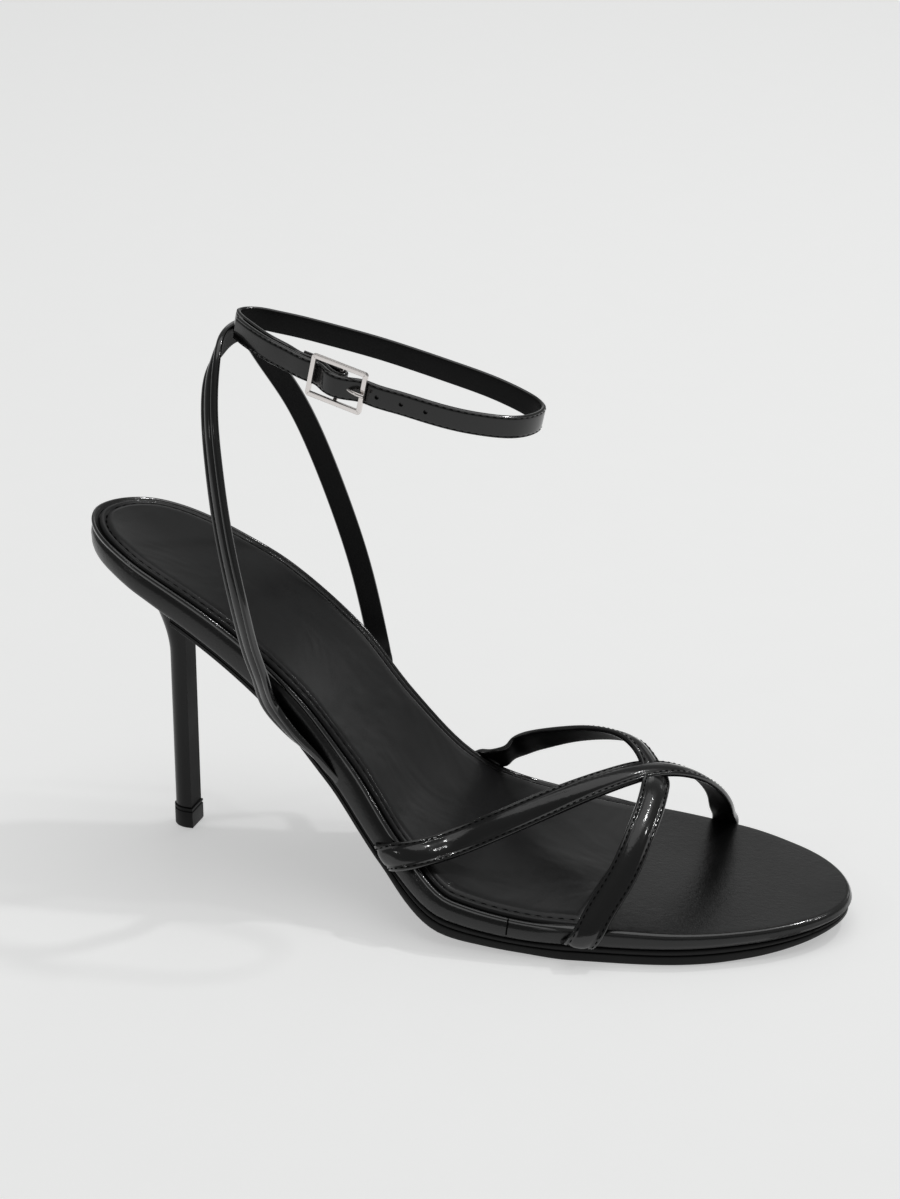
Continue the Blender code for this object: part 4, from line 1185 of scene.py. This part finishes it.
def dress_seams(loops, shade):
    """The seam down each side of the board's cover, along the nearest points of its rows."""
    # Each seam is a dark bar: partly the seam's own dark joint, partly painted shade of its groove
    for side, name in ((-1, "lateral_seam"), (1, "medial_seam")):
        plan = loops[0][0]
        off = np.abs(along_of(plan[:, 0]) - SEAM_STATION) + (side * plan[:, 1] < 0)
        nearest = int(np.argmin(off))
        path = spline([points[nearest] for _, points in loops[slice(*SEAM_ROWS)]], 40)
        points, faces = capped(round_bar(path, SEAM_RADIUS, 6))
        piece(name, points, faces, [shade])


def dress_board(leather, rim, shade):
    """The footbed's leather cover, with its rolled rim and its side seams."""
    loop, inward, near_count = outline(0, 1, OUTLINE_COUNT)
    thick = board_thickness(loop[:, 0])
    fade = np.clip(thick / BOARD_THICKNESS, LEAST_FADE, 1.0)
    share = np.clip((along_of(loop[:, 0]) - RIM_END[0]) / (RIM_END[1] - RIM_END[0]), 0, 1)
    rolled = share * share * (3 - 2 * share)
    loops = []
    for row, (inset, under, drop) in enumerate(BOARD_RIM):
        depth = thick * under + drop if under else drop * fade
        inset = np.full(len(loop), inset)
        if row >= ROLL_FROM_ROW:
            turn = (row - ROLL_FROM_ROW) / (len(BOARD_RIM) - 1 - ROLL_FROM_ROW) * math.pi / 2
            inset += (ROLL_RADIUS * fade * (1 - math.cos(turn)) - inset) * rolled
            depth += (ROLL_RADIUS * fade * (1 - math.sin(turn)) - depth) * rolled
        plan = loop + inward * inset[:, None]
        loops.append((plan, bed_point(plan[:, 0], plan[:, 1], depth)))

    def under_place(flat):
        x = np.array(flat[0])
        return bed_point(x, flat[1], board_thickness(x))

    def top_place(flat):
        level = np.interp(along_of(flat[0]), RIM_END, (BOARD_RIM[-1][2], 0.0))
        return bed_surface(np.array(flat[0]), flat[1], -level)

    tops = (under_place, top_place)
    kinds = [int(RIM_ROWS[0] <= k < RIM_ROWS[1]) for k in range(len(BOARD_RIM) - 1)]
    shape = (loops, near_count, even_shares(BOARD_PARTS), 1, tops)
    made = layered("footbed_cover", *shape, [leather, rim], "board_leather", kinds)
    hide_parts("insole_board")
    dress_seams(loops, shade)


def pad_plan(inset):
    """Plan loop of the sock pad, moved in from its own edge on every side."""
    front = PAD_FRONT / FOOTBED_LENGTH
    loop, inward, near_count = outline(0, front, OUTLINE_COUNT)
    plan = loop + inward * (PAD_MARGIN + inset)
    rear = plan[:, 0].min()
    shrink = (x_of(front) - inset - rear) / (x_of(front) - rear)
    plan[:, 0] = rear + (plan[:, 0] - rear) * shrink
    return plan, near_count


def dress_pad(leather, thread):
    """The sock on the footbed: its crowned edge, and a row of stitches round it."""
    loops = []
    for inset, height in PAD_RIM:
        plan, near_count = pad_plan(inset)
        loops.append((plan, bed_surface(plan[:, 0], plan[:, 1], height - PAD_SINK)))

    def under_place(flat):
        return bed_surface(np.array(flat[0]), flat[1], -PAD_SINK)

    def top_place(flat):
        return bed_surface(np.array(flat[0]), flat[1], PAD_RIM[-1][1] - PAD_SINK)

    shape = (loops, near_count, even_shares(PAD_PARTS), 1, (under_place, top_place))
    made = layered("sock_lining", *shape, [leather], "sock_leather")
    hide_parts("sock_pad")
    plan, _ = pad_plan(PAD_STITCH_INSET)
    closed = np.concatenate([plan, plan[:1]])
    lengths = run_along(closed)
    flat = read_at(np.linspace(0, lengths[-1], 2 * FINE_COUNT), lengths, closed)
    line = bed_surface(flat[:, 0], flat[:, 1], PAD_STITCH_HEIGHT)
    normals = depth_direction(flat[:, 0])
    sizes = {"pitch": PAD_STITCH_PITCH, "length": PAD_STITCH_LENGTH, "radius": PAD_STITCH_RADIUS}
    stitches("sock_stitches", [(line, normals)], thread, "sock_leather", **sizes)


def dress_outsole(rubber):
    """The outsole, with a fine groove round its edge."""
    rear = HEEL_DEPTH / 2 + SOLE_SETBACK
    loop, inward, near_count = outline(float(along_of(rear)), 1, OUTLINE_COUNT)
    along = along_of(loop[:, 0])
    margin = SHANK_MARGIN + (SOLE_MARGIN - SHANK_MARGIN) * sole_value("margin", along)
    board = board_thickness(loop[:, 0])
    thick = TREAD_THICKNESS * sole_value("thick", along)
    loops = []
    for inset, share in SOLE_RIM:
        plan = loop + inward * (margin + inset)[:, None]
        extra = CLEARANCE / 2 + (thick - CLEARANCE / 2) * share
        placed = bed_point(plan[:, 0], plan[:, 1], board + extra)
        behind = placed[:, 0] < rear
        placed[behind, 0] = rear
        placed[behind, 2] = under_height(np.full(behind.sum(), rear), extra[behind])
        placed[:, 2] = np.maximum(placed[:, 2], 0)
        loops.append((placed[:, :2], placed))

    def filled_from(places):
        """Gives the fill of a loop: each place takes the height of the loop's nearest station."""

        def fill(flat):
            near = np.argmin(np.abs(places[:, 0] - flat[0]))
            return np.array([flat[0], flat[1], places[near, 2]])

        return fill

    tops = (filled_from(loops[0][1]), filled_from(loops[-1][1]))
    shape = (loops, near_count, even_shares(SOLE_PARTS), 0, tops)
    made = layered("sole", *shape, [rubber], "sole_rubber")
    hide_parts("outsole")


def dress_heel(cover, shaded_breast_cover):
    """The covered heel: a slender column that flares out to its seat under the board."""
    core = d_section(HEEL_DEPTH, HEEL_WIDTH, HEEL_COUNT)
    breast = HEEL_DEPTH / 2
    rear, near, _ = outline(0, float(along_of(breast)), SEAT_COUNT)
    seat = rear + near * SEAT_MARGIN
    seat[:, 0] = np.minimum(seat[:, 0], breast)
    seat = resample_like(seat, core)
    top = under_height(seat[:, 0], CLEARANCE)
    column_top = top.min() - FLARE_HEIGHT
    loops = []
    for level in np.linspace(0, 1, FLARE_LEVELS) ** FLARE_CROWDING:
        x = core[:, 0] + (seat[:, 0] - core[:, 0]) * (1 - level) ** FLARE_DEPTH_POWER
        y = core[:, 1] + (seat[:, 1] - core[:, 1]) * (1 - level) ** FLARE_WIDTH_POWER
        z = top * (1 - level) + column_top * level
        loops.append(np.stack([x, y, z], 1))
    base = TIP_HEIGHT + CLEARANCE / 2
    for height in COLUMN_LEVELS:
        z = base + (column_top - base) * height
        loops.append(np.column_stack([core, np.full(HEEL_COUNT, z)]))
    points, faces = capped(loops[::-1])
    # The flat front gets the darker copy of the heel's leather: painted shade, partly a matte covering
    front = points[:, 0] > breast - BREAST_RIM
    which = [int(all(front[i] for i in face)) for face in faces]
    made = piece("heel_covered", points, faces, [cover, shaded_breast_cover], 40, which)
    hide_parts("heel")


def dress_tip(rubber):
    """The rubber top piece under the heel."""
    core = d_section(HEEL_DEPTH + 2 * TIP_RIM, HEEL_WIDTH + 2 * TIP_RIM, HEEL_COUNT)
    loops = []
    for height, inset in TIP_TABLE:
        shrunk = core * (1 - inset / (HEEL_DEPTH / 2))
        loops.append(np.column_stack([shrunk, np.full(HEEL_COUNT, height)]))
    points, faces = capped(loops)
    made = piece("top_piece", points, faces, [rubber], 40)
    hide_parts("heel_tip")


def dress_toe_straps(finishes, thread):
    """The two crossed straps over the toes, and their stitches."""
    size = (TOE_SECTION, TOE_STRAP_WIDTH, STRAP_THICKNESS)
    routes = []
    for name, (path, facing) in zip(("upper", "lower"), toe_strap_routes()):
        path = eased_inside(path, TOE_PATH_EASING)
        facing = eased(facing, TOE_FACE_EASING)
        routes.append((name, path, facing))
        made = dressed_strap(f"{name}_toe_strap", path, facing, *size, finishes, "strap_leather")
        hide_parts("toe_straps")
    for name, path, facing in routes:
        row = (TOE_STITCH_PLACE, TOE_STITCH_SPAN, thread)
        strap_stitches(f"{name}_toe_stitches", path, facing, *size, *row)


def dress_side_straps(finishes, thread):
    """The straps from the waist of the sole to the back of the ankle, and their stitches."""
    path, facing = side_strap_route()
    facing = eased(facing, SIDE_FACE_EASING)
    size = (SIDE_SECTION, SIDE_STRAP_WIDTH, STRAP_THICKNESS)
    made = dressed_strap("side_strap", path, facing, *size, finishes, "strap_leather")
    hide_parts("side_straps")
    row = (SIDE_STITCH_PLACE, SIDE_STITCH_SPAN, thread)
    strap_stitches("side_stitches", path, facing, *size, *row)


def punch_holes(made, places, shade):
    """Cuts blind holes into a strap; places holds the middle and outward direction of each."""
    rings = []
    faces = []
    for k, (centre, axis) in enumerate(places):
        across = unit(np.cross(axis, (0.0, 0.0, 1.0)))
        ring = HOLE_RADIUS * circle(across, np.cross(axis, across), HOLE_SIDES)
        floor = ANKLE_STRAP_THICKNESS / 2 - HOLE_DEPTH
        points, found = capped([centre + axis * shift + ring for shift in (floor, PUNCH_TOP)])
        rings.append(points)
        faces += [tuple(k * len(points) + i for i in face) for face in found]
    cutter = bpy.data.meshes.new("hole_punch")
    cutter.from_pydata(np.concatenate(rings).tolist(), [], faces)
    # The cutter's near-black finish lines each hole: painted shade that stands in for the hole's depth
    cutter.materials.append(shade)
    punches = linked("hole_punch", cutter)
    modifier = made.modifiers.new("holes", "BOOLEAN")
    modifier.operation = "DIFFERENCE"
    modifier.object = punches
    modifier.solver = "EXACT"
    graph = bpy.context.evaluated_depsgraph_get()
    cut = bpy.data.meshes.new_from_object(made.evaluated_get(graph))
    made.modifiers.clear()
    made.data = cut
    bpy.data.objects.remove(punches)


def dress_ankle_strap(finishes, thread, shade):
    """The ankle strap, thin in its fold round the buckle's bar, with its holes and stitches."""
    flat = spline(ankle_strap_route(), 2 * FINE_COUNT)
    path = loop_to_space(flat)
    facing = loop_to_space(flat + left_of(tangents(flat))) - path
    thin = np.clip((run_along(flat) - FOLD_END * FOLD_LENGTH) / FOLD_LENGTH, 0, 1)
    thickness = FOLD_THICKNESS + (ANKLE_STRAP_THICKNESS - FOLD_THICKNESS) * thin
    size = (ANKLE_SECTION, ANKLE_STRAP_WIDTH)
    name = "ankle_strap_leather"
    made = dressed_strap(name, path, facing, *size, thickness, finishes, "strap_leather")
    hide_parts("ankle_strap")
    outer_half = np.arange(len(flat)) > len(flat) // 2
    places = []
    for place in HOLE_PLACES:
        distance = np.linalg.norm(flat - in_buckle([(place, 0.0)])[0], axis=1)
        index = int(np.argmin(np.where(outer_half, distance, 1.0)))
        places.append((path[index], unit(facing[index])))
    punch_holes(made, places, shade)
    row = (ANKLE_STRAP_THICKNESS, ANKLE_STITCH_PLACE, ANKLE_STITCH_SPAN, thread)
    strap_stitches("ankle_stitches", path, facing, *size, *row)


def swept_ring(path, normal, section):
    """Points and faces of a closed bar along a closed flat path, with a section given flat."""
    path = np.asarray(path, float)
    tangent = unit(np.roll(path, -1, axis=0) - np.roll(path, 1, axis=0))
    side = np.cross(tangent, normal)
    rings = [path + side * across + normal * level for across, level in section]
    rings = np.stack(rings, 1)
    return rings.reshape(-1, 3), ring_faces(len(path), len(section), closed=True)


def rounded_rectangle(half_long, half_tall, corner, steps):
    """Points round a rectangle with round corners, as many as steps on each corner."""
    places = []
    for quarter, (sign_x, sign_y) in enumerate(((1, 1), (-1, 1), (-1, -1), (1, -1))):
        for step in range(steps):
            angle = math.pi / 2 * (quarter + step / (steps - 1))
            x = sign_x * (half_long - corner) + corner * math.cos(angle)
            y = sign_y * (half_tall - corner) + corner * math.sin(angle)
            places.append((x, y))
    return places


def dress_buckle(metal):
    """The buckle's flat-wire frame, its centre bar and its tongue."""
    wire, bar, _, _ = buckle_levels()
    long = BUCKLE_LENGTH / 2 - BUCKLE_WIRE / 2
    tall = ANKLE_STRAP_WIDTH / 2 + BUCKLE_CLEARANCE + BUCKLE_WIRE / 2
    path = buckle_place([(x, wire, y) for x, y in rounded_rectangle(long, tall, WIRE_CORNER, 9)])
    normal = unit(np.cross(path[10] - path[0], path[20] - path[0]))
    section = rounded_rectangle(WIRE_HALF_WIDTH, WIRE_HALF_HEIGHT, WIRE_BEVEL, 4)
    points, faces = swept_ring(path, normal, section)
    frame = piece("buckle", points, faces, [metal], 35)
    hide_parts("buckle_frame")
    inner = ANKLE_STRAP_WIDTH / 2 + CLEARANCE
    half = [(0, wire, tall), (0, wire - 0.3 * BAR_DROP, tall - 0.1 * BUCKLE_WIRE)]
    half += [(0, bar, inner + BAR_BEND_OUT), (0, bar, inner - BAR_BEND_IN)]
    rows = half + [(x, n, -y) for x, n, y in half[::-1]]
    points, faces = capped(round_bar(spline(buckle_place(rows), 40), BAR_RADIUS, 16))
    centre_bar = piece("buckle_bar", points, faces, [metal], 50)
    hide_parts("buckle_frame")
    path = spline(buckle_place(prong_rows()), 90)
    points, faces = capped(round_bar(path, PRONG_RADIUS, 16))
    prong = piece("buckle_tongue", points, faces, [metal], 50)
    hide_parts("buckle_prong")


def round_bar(path, radius, sides):
    """Rings of a round bar along an open path."""
    path = np.asarray(path, float)
    tangent = unit(np.gradient(path, axis=0))
    normal = np.cross(tangent[0], (0.3, 0.2, 0.93))
    rings = []
    for point, direction in zip(path, tangent):
        normal = unit(normal - direction * np.dot(normal, direction))
        rings.append(point + radius * circle(normal, np.cross(direction, normal), sides))
    return rings


def node(tree, kind, **settings):
    """A new node with its constants; a name that is no input of the node is a property of it."""
    made = tree.nodes.new(kind)
    for key, value in settings.items():
        if key in made.inputs:
            made.inputs[key].default_value = value
        else:
            setattr(made, key, value)
    return made


def surface(name, **settings):
    """A Principled material with its constant values set on the shader itself."""
    made = bpy.data.materials.new(name)
    made.use_nodes = True
    shader = made.node_tree.nodes["Principled BSDF"]
    for key, value in settings.items():
        shader.inputs[key.replace("_", " ")].default_value = value
    return made, made.node_tree, shader


def plain(name, colour, rough):
    """A dull finish; here it paints shade inside the blind holes and on the side seams."""
    made, _, shader = surface(name, Base_Color=(*colour, 1), Specular_IOR_Level=0.05)
    shader.inputs["Roughness"].default_value = rough
    return made


def ramp(tree, dark, light, places=None):
    """A ramp between two colours, from one place to another."""
    made = tree.nodes.new("ShaderNodeValToRGB")
    ends = made.color_ramp.elements
    for index, colour in enumerate((dark, light)):
        ends[index].color = (*colour, 1)
        if places:
            ends[index].position = places[index]
    return made


def leather(name, dark, light, rough, grain, crease, coat, shine):
    """Leather: fine grain, larger soft creases, and a finish that varies a little over the surface.

    grain and crease are each a scale and a height in metres.
    """
    settings = {"Coat_Weight": coat, "Coat_Roughness": COAT_ROUGHNESS, "Specular_IOR_Level": shine}
    made, tree, shader = surface(name, **settings)
    links = tree.links
    place = tree.nodes.new("ShaderNodeTexCoord")
    cells = node(tree, "ShaderNodeTexVoronoi", Scale=grain[0])
    cells.feature = "DISTANCE_TO_EDGE"
    noise = "ShaderNodeTexNoise"
    pores = node(tree, noise, Scale=grain[0] * 0.6, Detail=4.0, Roughness=0.6)
    creases = node(tree, noise, Scale=crease[0], Detail=3.0, Roughness=0.55, Distortion=0.6)
    patches = node(tree, noise, Scale=PATCH_SCALE, Detail=3.0, Roughness=0.5)
    for texture in (cells, pores, creases, patches):
        links.new(place.outputs["Object"], texture.inputs["Vector"])
    grain_mix = node(tree, "ShaderNodeMath", operation="MULTIPLY")
    links.new(cells.outputs["Distance"], grain_mix.inputs[0])
    links.new(pores.outputs["Fac"], grain_mix.inputs[1])
    fine = node(tree, "ShaderNodeBump", Strength=1.0, Distance=grain[1])
    links.new(grain_mix.outputs[0], fine.inputs["Height"])
    coarse = node(tree, "ShaderNodeBump", Strength=1.0, Distance=crease[1])
    links.new(creases.outputs["Fac"], coarse.inputs["Height"])
    links.new(fine.outputs["Normal"], coarse.inputs["Normal"])
    links.new(coarse.outputs["Normal"], shader.inputs["Normal"])
    links.new(coarse.outputs["Normal"], shader.inputs["Coat Normal"])
    finish = node(tree, "ShaderNodeMapRange")
    limits = {"From Min": 0.3, "From Max": 0.7, "To Min": rough - 0.05, "To Max": rough + 0.07}
    for key, value in limits.items():
        finish.inputs[key].default_value = value
    links.new(patches.outputs["Fac"], finish.inputs["Value"])
    links.new(finish.outputs["Result"], shader.inputs["Roughness"])
    shade = ramp(tree, dark, light, (0.3, 0.75))
    links.new(patches.outputs["Fac"], shade.inputs["Fac"])
    links.new(shade.outputs["Color"], shader.inputs["Base Color"])
    return made


def polished(name, colour, rough_low, rough_high, scale):
    """Metal with faint polishing marks in its roughness."""
    made, tree, shader = surface(name, Metallic=1.0, Base_Color=(*colour, 1))
    place = tree.nodes.new("ShaderNodeTexCoord")
    marks = node(tree, "ShaderNodeTexNoise", Scale=scale, Detail=4.0)
    tree.links.new(place.outputs["Object"], marks.inputs["Vector"])
    finish = node(tree, "ShaderNodeMapRange")
    finish.inputs["To Min"].default_value = rough_low
    finish.inputs["To Max"].default_value = rough_high
    tree.links.new(marks.outputs["Fac"], finish.inputs["Value"])
    tree.links.new(finish.outputs["Result"], shader.inputs["Roughness"])
    bump = node(tree, "ShaderNodeBump", Strength=1.0, Distance=0.000006)
    tree.links.new(marks.outputs["Fac"], bump.inputs["Height"])
    tree.links.new(bump.outputs["Normal"], shader.inputs["Normal"])
    return made


def make_floor():
    """A pale floor that glows a little: painted light that lightens the shadows on it."""
    mesh = bpy.data.meshes.new("studio_floor")
    corners = [(x * FLOOR_REACH, y * FLOOR_REACH, 0) for x, y in ((-1, -1), (1, -1), (1, 1), (-1, 1))]
    mesh.from_pydata(corners, [], [(0, 1, 2, 3)])
    made = linked("studio_floor", mesh)
    finish, tree, shader = surface("glowing_studio_paper", Specular_IOR_Level=0.3, Roughness=0.75)
    place = tree.nodes.new("ShaderNodeTexCoord")
    tooth = node(tree, "ShaderNodeTexNoise", Scale=60.0, Detail=3.0)
    tree.links.new(place.outputs["Object"], tooth.inputs["Vector"])
    shade = ramp(tree, *FLOOR_SHADES)
    tree.links.new(tooth.outputs["Fac"], shade.inputs["Fac"])
    tree.links.new(shade.outputs["Color"], shader.inputs["Base Color"])
    # Painted light: the floor glows, so that the shadows on it stay light
    shader.inputs["Emission Color"].default_value = (1.0, 1.0, 1.0, 1)
    shader.inputs["Emission Strength"].default_value = FLOOR_GLOW
    mesh.materials.append(finish)


def aim(thing, place, target):
    """Stands a light or a camera at a place and turns it to a target."""
    thing.location = place
    thing.rotation_euler = (Vector(target) - Vector(place)).to_track_quat("-Z", "Y").to_euler()


def light_studio():
    """Soft studio light from a few discs, with a dim world round them."""
    world = bpy.data.worlds.new("studio")
    world.use_nodes = True
    background = world.node_tree.nodes["Background"]
    background.inputs["Color"].default_value = WORLD_COLOUR
    background.inputs["Strength"].default_value = WORLD_STRENGTH
    bpy.context.scene.world = world
    for name, place, size, power in LIGHTS:
        data = bpy.data.lights.new(name, "AREA")
        data.shape = "DISK"
        data.size = size
        data.energy = power
        aim(linked(name, data), place, LIGHT_AIM)


def add_camera():
    """The photograph's camera."""
    data = bpy.data.cameras.new("photo_camera")
    data.sensor_fit = "AUTO"
    data.sensor_width = SENSOR_SIZE
    data.lens = CAMERA_LENS
    camera = linked("photo_camera", data)
    aim(camera, CAMERA_PLACE, CAMERA_AIM)
    bpy.context.scene.camera = camera
    bpy.context.scene.view_settings.view_transform = "Standard"


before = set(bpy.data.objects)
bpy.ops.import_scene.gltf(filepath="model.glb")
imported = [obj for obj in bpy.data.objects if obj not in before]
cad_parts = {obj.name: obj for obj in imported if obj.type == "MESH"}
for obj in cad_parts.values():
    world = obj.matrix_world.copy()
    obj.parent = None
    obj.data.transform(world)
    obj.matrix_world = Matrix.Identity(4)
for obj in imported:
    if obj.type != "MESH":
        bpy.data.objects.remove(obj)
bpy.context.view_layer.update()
add_camera()

finish = {}
for name, row in LEATHERS.items():
    finish[name] = leather(name, **dict(zip(LEATHER_COLUMNS, row)))
hole_shade = plain("hole_shade", PAINTED_SHADE_COLOUR, 0.9)
buckle_metal = polished("buckle_metal", METAL_COLOUR, 0.10, 0.20, 900)
backs = [finish["strap_edge"], finish["strap_lining"]]

dress_board(finish["bed_face"], finish["rim_face"], hole_shade)
dress_pad(finish["pad_face"], finish["thread"])
dress_outsole(finish["sole_face"])
dress_heel(finish["heel_face"], finish["shaded_heel_breast"])
dress_tip(finish["tip_face"])
dress_toe_straps([finish["strap_face"], *backs], finish["thread"])
dress_side_straps([finish["smooth_face"], *backs], finish["thread"])
dress_ankle_strap([finish["smooth_face"], *backs], finish["thread"], hole_shade)
dress_buckle(buckle_metal)
make_floor()
light_studio()
